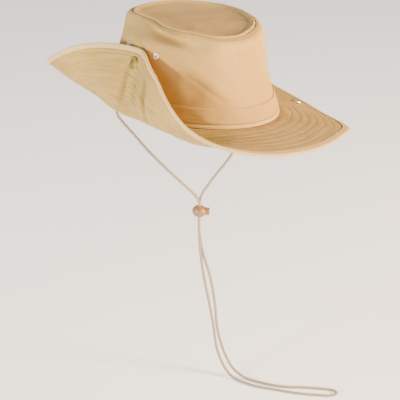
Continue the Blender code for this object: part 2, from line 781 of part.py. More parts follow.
def build():
    """Make the whole hat."""
    for thing in list(bpy.data.objects):
        bpy.data.objects.remove(thing, do_unlink=True)
    crown_side = make_crown_side()
    make_crown_tip()
    make_band()
    brim = make_brim()
    make_binding()
    for name, angle, height in EYELETS:
        make_eyelet(name, crown_side, angle, height)
    make_snaps(crown_side, brim)
    make_cord_tab("cord_tab_left", CORD_END_ANGLE)
    make_cord_tab("cord_tab_right", CORD_END_ANGLE - 180)
    make_cord()
    make_lock_body()
    make_plunger()


build()
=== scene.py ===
import math
from functools import lru_cache

import bmesh
import bpy
from mathutils import Matrix, Vector, noise


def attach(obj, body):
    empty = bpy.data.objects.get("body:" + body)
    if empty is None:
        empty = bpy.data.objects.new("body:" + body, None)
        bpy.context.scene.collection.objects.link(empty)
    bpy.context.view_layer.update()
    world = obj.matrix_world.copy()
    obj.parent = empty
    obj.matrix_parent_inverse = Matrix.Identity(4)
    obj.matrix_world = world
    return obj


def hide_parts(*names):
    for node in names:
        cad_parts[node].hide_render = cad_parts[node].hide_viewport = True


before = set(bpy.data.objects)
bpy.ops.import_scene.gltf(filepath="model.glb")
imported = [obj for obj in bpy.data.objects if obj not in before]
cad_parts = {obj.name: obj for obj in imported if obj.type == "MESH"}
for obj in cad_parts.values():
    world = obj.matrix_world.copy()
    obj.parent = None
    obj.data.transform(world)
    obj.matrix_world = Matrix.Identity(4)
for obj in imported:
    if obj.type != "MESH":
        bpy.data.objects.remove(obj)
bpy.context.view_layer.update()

GAP = 0.0003               # room between pieces, in metres, as in the frame

# Crown
HEAD_LENGTH = 0.204
HEAD_WIDTH = 0.163
CROWN_HEIGHT = 0.094
CROWN_CLOTH = 0.0015       # thickness, as wherever a name ends in CLOTH
TIP_LENGTH = 0.1425
TIP_WIDTH = 0.1217
TIP_BACK = 0.0016          # how far the top panel sits behind the middle of the head opening
TIP_RISE_BACK = 0.0023     # how far its seam rises at the back, and at the right
TIP_RISE_RIGHT = 0.0017
TIP_DIP = 0.0037           # and how far it dips at an angle in front
TIP_DIP_ANGLE = 262.0
TIP_DIP_REACH = 50.0       # degrees
TIP_ROLL = 0.0018          # height of the rolled seam
TIP_SINK = 0.0015          # how far the panel sinks inside it
TIP_MIDDLE_SINK = 0.88     # of that sink, in the very middle
TIP_INSET = CROWN_CLOTH * 0.55 + GAP * 1.5  # from the crown's outer face to the panel's edge
TIP_EVEN_EDGE = 0.04       # from the seam inwards, as a share of the outline, the panel lies even
TIP_UNEVEN = 0.20          # and from here on it is uneven
ROLL_MIDDLE = 0.93         # share of the outline
ROLL_REACH = 0.07
SEAM_ALLOWANCE = 0.0012    # how far the crown's cloth runs on below its foot
BAND_EDGE_SHARE = 0.23     # shares of the crown's height between which its cloth gets free of the band
CLOTH_FREE_SHARE = 0.34
CREASE_REACH = 0.75        # from a crease's middle, as a share of its length
UPRIGHT_SQUEEZE = 0.35     # of the height in the pattern of wrinkles, which makes them stand upright
UPRIGHT_SHARE = 0.34       # of the crown's height, where they are deepest, and their reach from there
SEAM_PUCKERS_START = 0.86  # shares of the crown's height between which the puckers of its top seam set in
SEAM_PUCKERS_FULL = 0.97
SEAM_GROOVE = 0.00020      # depth of the pressed line of stitches under the top seam
SEAM_GROOVE_REACH = 0.014
NORMAL_STEP = 0.02         # share of the crown's height over which its slope is taken
MEAN_RADIUS = 0.09         # of the crown, which turns an angle into a length of cloth
MEAN_LENGTH = 0.50         # of the crown side's cloth round the hat, as cut

# Band
WELT_HEIGHT = 0.0042
WELT_CLOTH = 0.0015
WELT_EDGE = 0.35           # share of its thickness at its edges
WELT_ROUNDNESS = 0.7       # lower is fuller
WELT_STEPS = 10
WELT_LENGTH = 0.585        # as cut
BAND_HEIGHT = 0.0170
BAND_CLOTH = 0.0012
BAND_EDGE = 0.45           # share of its thickness at its edges
BAND_STEPS = 20
BAND_LENGTH = 0.578        # as cut
BAND_FOLD = 0.0021         # height of its folds where they are highest
BAND_FOLD_ANGLE = 243.0    # where that is, round the hat
BAND_FOLD_ROUND = 40.0     # degrees from there to where they are lowest
BAND_FOLD_LEAST = 0.35     # share of the height that is left there
BAND_FOLD_STRETCH = 4.5    # how many times longer than high they are
BAND_FOLD_MIDDLE = 0.45    # shares of the band's height: their middle, and their reach from there
BAND_FOLD_REACH = 0.50

# Brim
BRIM_WIDTH = 0.0750
BRIM_CLOTH = 0.0018
BRIM_EDGE_CLOTH = 0.0010   # inside the binding
BINDING_WIDTH = 0.0065     # on the brim's upper face
BINDING_WIDTH_BELOW = 0.0040  # on its under face
BINDING_CLOTH = 0.0010
BINDING_LENGTH = 1.05      # as cut
BINDING_EDGE = 0.45        # share of its thickness at its edges
MEAN_EDGE_RADIUS = 0.17    # of the brim's edge
PRESS_REACH = 0.02         # share of the brim's width over which the binding presses its cloth flat
PUCKERS_ROUND = 6.0        # radius of the circle, in patches of the pattern, that the puckers run round
FACES_APART = 40.0         # in the pattern of puckers, so that the brim's two faces differ

# Where the binding's mesh has its lines, as shares of its width from the brim's edge
BINDING_PLACES = (1.0, 0.93, 0.75, 0.5, 0.25)

# Rows of stitches on the brim
FIRST_ROW = 0.0128         # crown to the first row
ROW_SPACING = 0.0091
ROW_COUNT = 7
QUILT_HEIGHT = 0.00060     # how far the cloth swells between two rows
QUILT_START = 0.0006       # past the brim's level start
QUILT_ROUNDNESS = 0.5      # lower is fuller
STITCH_SHADE = 0.55        # how dark the cloth looks right beside a row, from 0 to 1
SHADE_START = 0.7          # share of the way to the first row

# Where the brim's mesh has its lines: distances from the crown, and places between two rows of stitches as
# shares of their spacing
LINES_BEFORE_ROWS = (0.0050, 0.0070, 0.0090, 0.0110, 0.0120)
LINES_BETWEEN_ROWS = (0.0, 0.05, 0.12, 0.24, 0.37, 0.50, 0.63, 0.76, 0.88, 0.95)

# Eyelets and snaps
EYELET_DIAMETER = 0.0070
EYELET_HOLE = 0.0028
EYELET_ROOM = 0.0010       # between the eyelet's hole and the cloth round it
EYELET_WALL = 0.0004       # thickness of the barrel
EYELET_SEAT = 0.0004       # from the cloth's outer face to the flange
EYELET_BACK = 0.0005       # from its inner face to the flange inside
SNAP_LEFT_ANGLE = 178.0
SNAP_RIGHT_ANGLE = -13.0
SNAP_LEFT_INSET = 0.0145   # from the brim's edge to the snap's middle
SNAP_RIGHT_INSET = 0.0230
SNAP_DIAMETER = 0.0135
SNAP_CAP_HEIGHT = 0.0022
SNAP_SOCKET_HEIGHT = 0.0024
SNAP_POST = 0.0024
SNAP_HOLLOW = SNAP_DIAMETER * 0.19  # radius of the socket's hollow
SNAP_FLOOR = SNAP_SOCKET_HEIGHT * 0.35  # height of its floor
SNAP_BASE = SNAP_DIAMETER * 0.36  # radius of the stud's foot
SNAP_STAND_OFF = 0.0062    # from the crown to the middle of the brim's cloth, at the closed snap
SNAP_SEAT = BRIM_CLOTH / 2 + QUILT_HEIGHT + 0.0001  # from the middle of the brim's cloth to the metal
STUD_SEAT = 0.0005         # from the crown's outer face to the stud, and from its inner face to its disc
STUD_BACK = 0.0006
STUD_DISC = SNAP_CAP_HEIGHT * 0.35
SNAP_PULL_ROUND = 24.0     # degrees round the hat that the closed snap pulls out
SNAP_PULL_UP = 0.32        # and the share of the crown's height

# Chin cord and its lock
CORD_DIAMETER = 0.0032
CORD_ROOM = GAP * 0.6      # round the strands in the lock
STRANDS_APART = GAP * 0.4
STRAND_PAIRS = 4
STRAND_LOW = 0.86          # radius between the strands, as a share of the cord's
STRAND_RELIEF = 0.16       # how far they stand out from there
STRAND_LEAST = 0.35        # share of that height where a strand dips under another
CORD_TAB_WIDTH = 0.0120
CORD_TAB_HEIGHT = 0.0090
CORD_TAB_DEPTH = 0.0036    # inwards from the crown
CORD_TAB_THINNING = 0.25   # share of its thickness lost at its sides
CORD_END_ANGLE = 154.0     # of its left end; the right end is opposite
LOCK_CENTRE = Vector((0.0108, -0.0062, -0.1235))
LOCK_TURN = -43.0          # degrees, the way that the plunger points
LOCK_WIDTH = 0.0158
LOCK_HEIGHT = 0.0136
PLUNGER_DIAMETER = 0.0086
PLUNGER_REACH = 0.0112     # from the ball's centre to the plunger's outer end
PLUNGER_TRAVEL = 0.0016
PLUNGER_WALL = 0.0012      # wood behind the strands
PLUNGER_ROUNDING = 0.0006
ROUNDED_ANGLE = 38         # degrees from which an edge of it is rounded
FLOOR_HEIGHT = -0.3196
FLOOR_SIZE = 60

# Camera: where the photo was taken from
CAMERA_TURN = 43.03        # degrees from straight in front, towards the hat's left side in the picture
CAMERA_TILT = 16.41        # degrees above level
CAMERA_ROLL = 1.98         # degrees, its right side raised
CAMERA_DISTANCE = 1.681
AIM_RIGHT = 0.0086         # what the camera looks at, beside and below the head opening
AIM_DOWN = 0.0820
CAMERA_SHIFT = -0.05
LENS = 140.9               # millimetres, as is the sensor
SENSOR_WIDTH = 36

# Fineness of the meshes
ROUND_STEPS = 480          # round the brim
CROWN_STEPS = 384          # round the crown
PATH_STEPS = 80            # across the brim
CROWN_ROW_STEPS = 7        # between two points of a profile or of the cord's route
TIP_ROW_STEPS = 6
ROUTE_STEPS = 24
LATHE_SIDES = 48
BORE_SIDES = 24
BORE_DEPTH = 0.010
SLOT_SIDES = 32
BALL_SIDES = 56
BALL_RINGS = 36
CORD_SIDES = 24
CORD_STEP = 0.0004         # along the cord
CORD_TAB_STEPS = 6         # from the middle of a tab to its side
CORD_TAB_SIDES = 20
METAL_SHARP_ANGLE = 50     # degrees from which an edge is drawn sharp
WOOD_SHARP_ANGLE = 40

# Patterns of the materials, as sizes in metres. Some are too fine to show and are drawn coarser: the real
# twill lines are 0.6 mm apart, and the real yarns, fibres, pores and handling marks are finer than these too
WAVE_PERIOD = 0.314        # from wave to wave where a wave texture's scale is 1
TWILL_SPACING = 0.0013
TWILL_TURN = 52.0          # degrees from the cloth's length to its twill lines
YARN_WIDTH = 0.00111
WORN_PLACE = 0.0385
PUCKER_SPACING = 0.0030
THREAD_TWIST = 0.00238
STRAND_LAY = 0.0036        # length of cord for one turn of its strands
CORD_FIBRE = 0.000625
BRASS_MARK = 0.00333
NICKEL_MARK = 0.00385
WOOD_RING_SPACING = 0.0030
WOOD_PORE = 0.00143

# Sockets of a Mix node that blends colours
MIX_FACTOR = 0
MIX_FIRST = 6
MIX_SECOND = 7
MIX_RESULT = 2

# Share of the crown's height, and share of the way in from its foot to its top seam
CROWN_PROFILE = (
    (0.00, 0.00),
    (0.25, 0.19),
    (0.42, 0.31),
    (0.60, 0.45),
    (0.76, 0.57),
    (0.88, 0.68),
    (0.95, 0.76),
    (0.985, 0.87),
    (1.00, 1.00),
)

# Name, angle, share of height, reach in degrees, reach in height, depth as a share of height
CROWN_DENTS = (
    ("front left shoulder", 212, 0.96, 34, 0.30, 0.078),
    ("left front hollow", 226, 0.52, 20, 0.24, 0.022),
    ("front hollow", 278, 0.60, 22, 0.26, 0.012),
    ("back hollow", 96, 0.55, 34, 0.26, 0.024),
    ("right back hollow", 48, 0.66, 24, 0.24, 0.020),
    ("right front hollow", 312, 0.50, 30, 0.48, 0.030),
    ("left back shoulder", 126, 0.98, 40, 0.16, -0.032),
    ("left shoulder", 164.5, 1.02, 50, 0.22, 0.186),
    ("left back hollow", 146, 0.74, 26, 0.26, 0.012),
    ("right shoulder", 6, 0.95, 50, 0.30, -0.028),
)

# Name, angle, height above the foot seam
EYELETS = (
    ("eyelet_left_front", 192.2, 0.0680),
    ("eyelet_left_back", 162.0, 0.0708),
    ("eyelet_right_front", -12.2, 0.0680),
    ("eyelet_right_back", 18.0, 0.0708),
)

# Share of the outline, height in rolls, depth in sinks
TIP_PROFILE = (
    ("seam edge", 1.000, 0.2, 0.0),
    ("roll", 0.972, 1.0, 0.0),
    ("inside of roll", 0.944, 0.55, -0.15),
    ("slope", 0.880, 0.08, -0.60),
    ("panel", 0.620, 0.0, -1.0),
    ("middle", 0.300, 0.0, -0.9),
)

# Seam allowance of the crown side, turned in under the top panel: inwards, down, thickness, in metres
TURNED_IN = (
    (0.0005, 0.0003, 0.0008),
    (0.0010, 0.0014, 0.0005),
    (0.0036, 0.0023, 0.0004),
)

# Angle round the hat, and how steeply the brim rises there at four places from crown to edge
RISE_PLACES = (0.0, 0.15, 0.50, 1.0)
BRIM_SECTIONS = (
    ("right", 0.0, -12, -13, -14, -16),
    ("right, behind the snap", 22.5, -5, -4, -4, -7),
    ("right back", 45.0, -3, -2, -2, -3),
    ("back, right of the middle", 67.5, -3, -2, -2, -2),
    ("back", 90.0, -3, -2, 1, 7),
    ("back, left of the middle", 112.5, 5, 8, 16, 28),
    ("left back", 135.0, 23, 26, 39, 56),
    ("left, behind the snap", 157.5, 48, 73, 83, 90),
    ("left", 180.0, 58, 94, 100, 111),
    ("left, before the snap", 202.5, -24, 31, 93, 99),
    ("left front", 225.0, -29, -17, 28, 46),
    ("front, left of the middle", 247.5, -13, -4, 1, 1),
    ("front", 270.0, -6, -5, -4, -5),
    ("front, right of the middle", 292.5, -6, -5, -4, -3),
    ("right front", 315.0, -13, -14, -13, -13),
    ("right, before the snap", 337.5, -16, -18, -19, -19),
)

# Name, angle, reach in degrees, from and to as shares of the width, height as a share of the width
BRIM_FOLDS = (
    ("fold below the snap", 176, 9, 0.05, 0.62, 0.030),
    ("fold before the snap", 193, 9, 0.05, 0.80, -0.034),
    ("fold behind the snap", 162, 10, 0.15, 0.85, -0.022),
    ("pull at the left front", 208, 10, 0.20, 0.90, 0.020),
    ("wave at the back", 80, 20, 0.30, 1.30, 0.020),
    ("wave at the right back", 40, 18, 0.30, 1.30, -0.018),
)

# Sharp creases of the turned-up side: name, angle near the crown, angle near the edge, from and to as
# shares of the width, reach in degrees, height towards the crown in metres
BRIM_CREASES = (
    ("from the snap down", 168.5, 176.5, 0.04, 0.92, 2.0, 0.0026),
    ("beside it", 173.0, 181.0, 0.06, 0.88, 3.4, -0.0022),
    ("before the snap", 199.0, 193.0, 0.06, 1.00, 2.6, 0.0030),
    ("in front of it", 204.0, 197.5, 0.10, 0.96, 3.2, -0.0017),
)

# Rows of small waves across the turned-up side: name, angle, reach in degrees, share of the width, reach
# as a share, height and length of a wave in metres, slant in radians for each degree round the hat
BRIM_PUCKERS = (
    ("between the creases", 182.0, 9, 0.50, 0.36, 0.00095, 0.0058, 0.35),
    ("in front of them", 213.0, 14, 0.55, 0.42, 0.00030, 0.0046, -0.20),
)

# Creases of the crown: name, from angle and share of height, to angle and share, half width as a share
# of the height, depth in metres
CROWN_CREASES = (
    ("under the top seam", 178, 0.934, 216, 0.868, 0.058, 0.0040),
    ("shoulder above it", 162, 1.00, 224, 0.940, 0.040, -0.0015),
    ("from the flap to the band", 206, 0.70, 252, 0.24, 0.060, 0.0015),
    ("ridge beside it", 200, 0.86, 258, 0.32, 0.070, -0.0011),
    ("behind the left eyelet", 172, 0.86, 186, 0.66, 0.050, 0.0016),
    ("right of the middle", 286, 0.92, 300, 0.40, 0.080, 0.0010),
)

# Shade in a groove, from 0 to 1: strength, place and reach as shares of the height or of the outline, angle
# where it is darkest, reach in degrees, and share of the strength that is left past that reach
GROOVE_SHADES = {
    "under the top seam": (0.6, 0.982, 0.010, 268, 60, 0.0),
    "inside the top panel's roll": (0.5, 0.938, 0.022, 330, 60, 0.35),
}

# Depth at which the painted shade in a crease of the crown, or of the brim, is darkest
CROWN_DARK_DEPTH = 0.0038
BRIM_DARK_DEPTH = 0.0034

# Uneven places of the cloth: height in metres, or as a share where named so, size in metres, and a seed
LUMPS = {
    "crown, broad": (0.00100, 0.034, 1),
    "crown, upright": (0.00070, 0.014, 2),
    "crown, small": (0.00045, 0.013, 15),
    "crown, top seam": (0.00034, 0.0042, 3),
    "quilting, share, broad": (0.35, 0.012, 4),
    "quilting, share, small": (0.25, 0.0045, 5),
    "top panel, broad": (0.0009, 0.030, 6),
    "top panel, small": (0.0004, 0.010, 7),
    "top panel, roll": (0.00040, 0.0048, 8),
    "band, route of its folds": (0.010, 0.03, 9),
    "band, share, long": (1.0, 0.026, 10),
    "band, share, short": (0.4, 0.011, 11),
    "welt, share": (0.10, 0.006, 12),
    "tape, gathers": (0.00016, 0.0035, 13),
    "tape, broad": (0.00014, 0.010, 14),
}

# Stitches: pitch, length, width and height. The thread is drawn up to 1 mm wide, thicker than the real
# 0.4 mm, so that the rows can be seen
STITCHES = {
    "brim_stitches_upper": (0.0030, 0.0027, 0.0010, 0.00048),
    "brim_stitches_under": (0.0030, 0.0027, 0.0009, 0.00030),
    "binding_stitches": (0.0028, 0.0022, 0.0006, 0.00030),
    "band_stitches": (0.0024, 0.0021, 0.0005, 0.00020),
    "top_seam_stitches": (0.0024, 0.0021, 0.0005, 0.00020),
}

# Shares of its length between which a stitch stands at its full height
STITCH_SHOULDERS = (0.28, 0.72)
STITCH_SINK = 0.5          # how deep its ends lie in the cloth, as a share of its height
STITCH_BELLY = 0.35        # and its middle
STITCH_SHARE = 0.9         # of its pitch that a stitch may take
BINDING_STITCH_INSET = 0.0014
BAND_STITCH_INSET = 0.0017
TOP_SEAM_SHARE = 0.966     # of the crown's height

# Name, azimuth and height in degrees, distance and size in metres, power in watts, tint
LIGHTS = (
    ("light from the right", 32, 17, 2.2, 0.70, 213, "FFD8A6"),
    ("light from the front", 10, 7, 2.2, 0.70, 18, "FFDEB6"),
    ("light from the left", -85, 7, 2.2, 0.30, 86, "FFF0DA"),
    ("light from the left front", -50, 8, 2.4, 0.70, 14, "FFEAD0"),
    ("light from behind on the left", -120, 38, 2.2, 0.70, 18, "F2F4FF"),
)

# Route of the chin cord, in millimetres, from its left end to its right end
CORD_ROUTE = (
    (-69.6, 43.1, 2.9), (-69.6, 43.1, -0.8), (-69.7, 42.6, -5), (-69.3, 40.5, -11), (-66, 38, -17),
    (-54, 31, -33), (-40, 23, -52), (-24, 14, -71), (-7.5, 5.5, -89), (5.8, -2.8, -104),
    (9, -6.4, -111), (9.7, -7.4, -117.5), (9.7, -7.4, -124), (9.7, -7.4, -131), (10, -8.1, -147),
    (12, -9.5, -173), (15, -13, -200), (19, -18, -228), (23, -23, -258), (26.5, -26.5, -286),
    (32, -34, -308), (34, -47, -317.5), (35, -63, -318), (40, -80, -318), (51, -100, -318),
    (63, -120, -318), (76, -136, -318), (86, -146, -318), (94, -149, -318), (99, -146, -318),
    (99, -139, -318), (91.5, -129, -318), (79, -115, -318), (65, -102, -318), (55, -87, -318),
    (48, -70, -318), (43.5, -54, -317), (38.5, -39.5, -308), (32, -30, -286), (27, -25, -260),
    (25, -22, -232), (21, -16.5, -200), (15.5, -9.5, -173), (12.5, -5.6, -148), (11.9, -5, -131),
    (11.9, -5, -124), (11.9, -5, -117.5), (12.2, -5.6, -110), (14.4, -8, -101), (23, -14, -85),
    (33, -20, -70), (41, -24, -57), (56, -32, -29), (65.5, -39.5, -13), (69.5, -42.8, -5),
    (69.6, -43.1, -0.8), (69.6, -43.1, 2.9),
)


def oval(angle, length, width):
    """Point of an oval round the head, as a flat vector."""
    turn = math.radians(angle)
    return Vector((width / 2 * math.cos(turn), length / 2 * math.sin(turn), 0))


def outward(angle):
    """Level direction square to the crown's foot."""
    turn = math.radians(angle)
    return Vector((math.cos(turn) / HEAD_WIDTH, math.sin(turn) / HEAD_LENGTH, 0)).normalized()


def between(rows, place):
    """Value at a place in rows of (place, value), along straight lines."""
    for (start, low), (end, high) in zip(rows, rows[1:]):
        if place <= end:
            share = max(0.0, (place - start) / (end - start))
            return low + (high - low) * share
    return rows[-1][1]


def bump(distance, reach):
    """Soft hump: 1 in the middle, 0 from the reach outwards."""
    share = min(1.0, abs(distance) / reach)
    return (1 - share * share) ** 2


def ramp(value, start, end):
    """Soft step from 0 to 1."""
    share = min(1.0, max(0.0, (value - start) / (end - start)))
    return share * share * (3 - 2 * share)


def turn_between(angle, other):
    """Smallest angle from one direction to another, in degrees."""
    return (angle - other + 180.0) % 360.0 - 180.0


def strongest_at(angle, middle, reach, least):
    """Strength that is 1 at an angle round the hat and falls to a least one past the reach."""
    return least + (1 - least) * bump(turn_between(angle, middle), reach)


def groove_shade(kind, angle, share):
    """How dark a kind of groove looks at a place, from 0 to 1."""
    strength, middle, reach, darkest, reach_round, least = GROOVE_SHADES[kind]
    return strength * bump(share - middle, reach) * strongest_at(angle, darkest, reach_round, least)


def lumps(kind, point):
    """Height of a kind of uneven place at a point, above or below the plain cloth."""
    height, size, seed = LUMPS[kind]
    return height * noise.noise(point / size + Vector((seed * 7.3, seed * 3.1, seed * 5.7)))


def dent_depth(angle, share):
    """How far the crown is pushed in at a place."""
    depth = 0.0
    for name, middle, height, reach_round, reach_up, amount in CROWN_DENTS:
        round_hat = bump(turn_between(angle, middle), reach_round)
        depth += CROWN_HEIGHT * amount * round_hat * bump(share - height, reach_up)
    pull, height = snap_pull()
    round_hat = bump(turn_between(angle, SNAP_LEFT_ANGLE), SNAP_PULL_ROUND)
    return depth - pull * round_hat * bump(share - height, SNAP_PULL_UP)


@lru_cache
def snap_pull():
    """How far out the closed snap pulls the crown's side, and at which share of its height."""
    point, _ = snap_place(SNAP_LEFT_ANGLE, SNAP_LEFT_INSET)
    share = point.z / CROWN_HEIGHT
    plain = plain_crown_point(SNAP_LEFT_ANGLE, share, between(CROWN_PROFILE, share))
    return outward(SNAP_LEFT_ANGLE).dot(point - plain) - SNAP_STAND_OFF, share


def plain_crown_point(angle, share, reach):
    """Point of the crown's outer face before it is dented or pulled."""
    foot = oval(angle, HEAD_LENGTH, HEAD_WIDTH)
    seam = oval(angle, TIP_LENGTH, TIP_WIDTH) + Vector((0, TIP_BACK, 0))
    point = foot.lerp(seam, reach)
    turn = math.radians(angle)
    lean = TIP_RISE_BACK * math.sin(turn) + TIP_RISE_RIGHT * math.cos(turn)
    lean -= TIP_DIP * bump(turn_between(angle, TIP_DIP_ANGLE), TIP_DIP_REACH)
    point.z = share * CROWN_HEIGHT + max(0.0, share) * lean
    return point


def crown_crease(angle, share):
    """How deep the creases of the crown are at a place."""
    depth = 0.0
    for name, start, low, end, high, reach, amount in CROWN_CREASES:
        along = turn_between(angle, start) / (end - start)
        middle = low + (high - low) * along
        depth += amount * bump(along - 0.5, CREASE_REACH) * bump(share - middle, reach)
    return depth


def above_band(share):
    """Soft step from 0 under the band's top edge to 1 above it."""
    return ramp(share, BAND_EDGE_SHARE, CLOTH_FREE_SHARE)


def crown_painted_shade(angle, share):
    """Painted shade of the crown: how dark its colour is made in its creases and right under its top seam in
    front, from 0 to 1.
    """
    crease = max(0.0, crown_crease(angle, share) / CROWN_DARK_DEPTH) * above_band(share)
    return min(1.0, crease + groove_shade("under the top seam", angle, share))


def crown_wrinkle(angle, share):
    """Small unevenness of the crown's cloth above the band."""
    place = oval(angle, HEAD_LENGTH, HEAD_WIDTH) + Vector((0, 0, share * CROWN_HEIGHT))
    upright = Vector((place.x, place.y, place.z * UPRIGHT_SQUEEZE))
    height = lumps("crown, broad", place) + lumps("crown, small", place)
    height += lumps("crown, upright", upright) * bump(share - UPRIGHT_SHARE, UPRIGHT_SHARE)
    height += lumps("crown, top seam", upright) * ramp(share, SEAM_PUCKERS_START, SEAM_PUCKERS_FULL)
    height -= crown_crease(angle, share) + SEAM_GROOVE * bump(share - TOP_SEAM_SHARE, SEAM_GROOVE_REACH)
    return height * above_band(share)


def crown_point(angle, share, out=0.0, reach=None):
    """Point of the crown's outer face, or of a face lying a little further out."""
    if reach is None:
        reach = between(CROWN_PROFILE, share)
    point = plain_crown_point(angle, share, reach)
    return point + outward(angle) * (out - dent_depth(angle, share) + crown_wrinkle(angle, share))


def crown_normal(angle, share):
    """Direction square to the crown's outer face."""
    low = max(0.0, share - NORMAL_STEP)
    high = min(1.0, share + NORMAL_STEP)
    up = crown_point(angle, high) - crown_point(angle, low)
    along = crown_point(angle + 1, share) - crown_point(angle - 1, share)
    return along.cross(up).normalized()


def rise(angle, share):
    """Steepness of the brim in degrees, smooth round the hat."""
    step = 360.0 / len(BRIM_SECTIONS)
    place = (angle % 360.0) / step
    first = int(place)
    t = place - first
    rows = [BRIM_SECTIONS[(first + offset) % len(BRIM_SECTIONS)][2:] for offset in (-1, 0, 1, 2)]
    values = []
    for before, start, end, after in zip(*rows):
        slope_in = (end - before) / 2
        slope_out = (after - start) / 2
        values.append((2 * t ** 3 - 3 * t ** 2 + 1) * start + (t ** 3 - 2 * t ** 2 + t) * slope_in
                      + (3 * t ** 2 - 2 * t ** 3) * end + (t ** 3 - t ** 2) * slope_out)
    return between(list(zip(RISE_PLACES, values)), share)


def ledge():
    """Level start of the brim, under the welt."""
    return GAP * 2 + WELT_CLOTH + BRIM_CLOTH / 2


@lru_cache(maxsize=None)
def brim_path(angle):
    """Middle line of the brim's cloth from crown to edge, as (point, upper normal) pairs."""
    point = oval(angle, HEAD_LENGTH, HEAD_WIDTH) + outward(angle) * GAP
    step = (BRIM_WIDTH - GAP) / PATH_STEPS
    path = [(point, Vector((0, 0, 1)))]
    for index in range(PATH_STEPS):
        gone = (index + 0.5) * step
        share = max(0.0, (gone - ledge()) / (BRIM_WIDTH - ledge()))
        steepness = math.radians(rise(angle, share)) if gone > ledge() else 0.0
        ahead = outward(angle) * math.cos(steepness) + Vector((0, 0, math.sin(steepness)))
        point = point + ahead * step
        normal = Vector((0, 0, math.cos(steepness))) - outward(angle) * math.sin(steepness)
        path.append((point, normal))
    return path


def fold_height(angle, share):
    """How far the brim's soft folds lift it off its plain shape."""
    height = 0.0
    for name, middle, reach, start, end, amount in BRIM_FOLDS:
        along = bump(share - (start + end) / 2, (end - start) / 2)
        height += BRIM_WIDTH * amount * along * bump(turn_between(angle, middle), reach)
    return height


def crease_height(angle, share):
    """How far the sharp creases, and the puckers between them, lift the turned-up side."""
    height = 0.0
    for name, near, far, start, end, reach, amount in BRIM_CREASES:
        along = bump(share - (start + end) / 2, (end - start) / 2)
        middle = near + (far - near) * share
        height += amount * along * bump(turn_between(angle, middle), reach)
    for name, middle, reach, centre, reach_along, amount, length, slant in BRIM_PUCKERS:
        place = bump(turn_between(angle, middle), reach) * bump(share - centre, reach_along)
        height += amount * place * math.sin(share * BRIM_WIDTH / length * math.tau + angle * slant)
    return height


def brim_place(angle, share):
    """Point and upper normal of the brim's middle line at a share of its width."""
    path = brim_path(angle)
    place = share * PATH_STEPS
    first = min(int(place), PATH_STEPS - 1)
    part = place - first
    point = path[first][0].lerp(path[first + 1][0], part)
    normal = path[first][1].lerp(path[first + 1][1], part).normalized()
    return point + normal * (fold_height(angle, share) + crease_height(angle, share)), normal


def snap_place(angle, inset):
    """Point and upper normal of the brim where a snap sits."""
    return brim_place(angle, 1 - inset / BRIM_WIDTH)


def fullness(distance, side):
    """How full the quilted cloth is between its rows of stitches: 0 at a row, 1 halfway to the next."""
    row = (distance - FIRST_ROW) / ROW_SPACING
    last = FIRST_ROW + (ROW_COUNT - 1) * ROW_SPACING
    if distance < FIRST_ROW:
        share = (distance - ledge()) / (FIRST_ROW - ledge())
    elif distance > last:
        share = (distance - last) / (BRIM_WIDTH - tape_width(side) - last)
    else:
        share = row % 1.0
    return math.sin(math.pi * min(1.0, max(0.0, share))) ** QUILT_ROUNDNESS


def swelling(angle, distance, side):
    """How far the quilted cloth stands out between its rows of stitches."""
    if distance <= ledge() + QUILT_START:
        return 0.0
    place = outward(angle) * (HEAD_LENGTH / 2 + distance)
    uneven = 1 + lumps("quilting, share, broad", place) + lumps("quilting, share, small", place)
    return QUILT_HEIGHT * fullness(distance, side) * uneven


def brim_painted_shade(angle, distance, side):
    """Painted shade of the brim: how dark its cloth's colour is made in its creases and beside its stitches,
    from 0 to 1.
    """
    crease = max(0.0, -side * crease_height(angle, distance / BRIM_WIDTH) / BRIM_DARK_DEPTH)
    beside = 0.0
    if FIRST_ROW * SHADE_START < distance < BRIM_WIDTH - tape_width(side):
        beside = STITCH_SHADE * (1 - fullness(distance, side)) ** 2
    return min(1.0, crease + beside)


def tape_width(side):
    """Width of the binding on the brim's upper face, or on its under face where side is -1."""
    return BINDING_WIDTH if side == 1 else BINDING_WIDTH_BELOW


def brim_thickness(share, side):
    """Thickness of the brim's cloth, pressed flat inside the binding."""
    pressed = 1 - tape_width(side) / BRIM_WIDTH
    return BRIM_CLOTH + (BRIM_EDGE_CLOTH - BRIM_CLOTH) * ramp(share, pressed - PRESS_REACH, pressed)


def brim_face(angle, distance, side):
    """Point of the brim's upper face, or of its under face where side is -1, and that face's normal."""
    share = distance / BRIM_WIDTH
    point, normal = brim_place(angle, share)
    out = brim_thickness(share, side) / 2
    if distance < BRIM_WIDTH - tape_width(side):
        out += swelling(angle, distance, side)
    return point + normal * side * out, normal * side


def smooth_line(points, steps):
    """Points along a smooth curve through a few given ones."""
    points = [Vector(point) for point in points]
    ends = [points[0] * 2 - points[1]] + points + [points[-1] * 2 - points[-2]]
    line = []
    for before, start, end, after in zip(ends, ends[1:], ends[2:], ends[3:]):
        for step in range(steps):
            t = step / steps
            line.append(start + (end - before) * t / 2
                        + (before * 2 - start * 5 + end * 4 - after) * t * t / 2
                        + (start * 3 - before - end * 3 + after) * t ** 3 / 2)
    line.append(points[-1])
    return line


# Colours and materials


def colour(code):
    """Linear colour of an sRGB hex code such as D9BC91."""
    parts = [int(code[index:index + 2], 16) / 255 for index in (0, 2, 4)]
    return tuple(p / 12.92 if p <= 0.04045 else ((p + 0.055) / 1.055) ** 2.4 for p in parts) + (1.0,)


def feed(material, source, node, socket):
    """Let a node's output set another node's input."""
    material.node_tree.links.new(source, node.inputs[socket])


def add_node(material, kind, inputs=None, links=None, **settings):
    """Add a shader node, with values or other nodes' outputs for its inputs, and its own settings."""
    node = material.node_tree.nodes.new(kind)
    for name, value in settings.items():
        setattr(node, name, value)
    for socket, value in (inputs or {}).items():
        node.inputs[socket].default_value = value
    for socket, source in (links or {}).items():
        feed(material, source, node, socket)
    return node


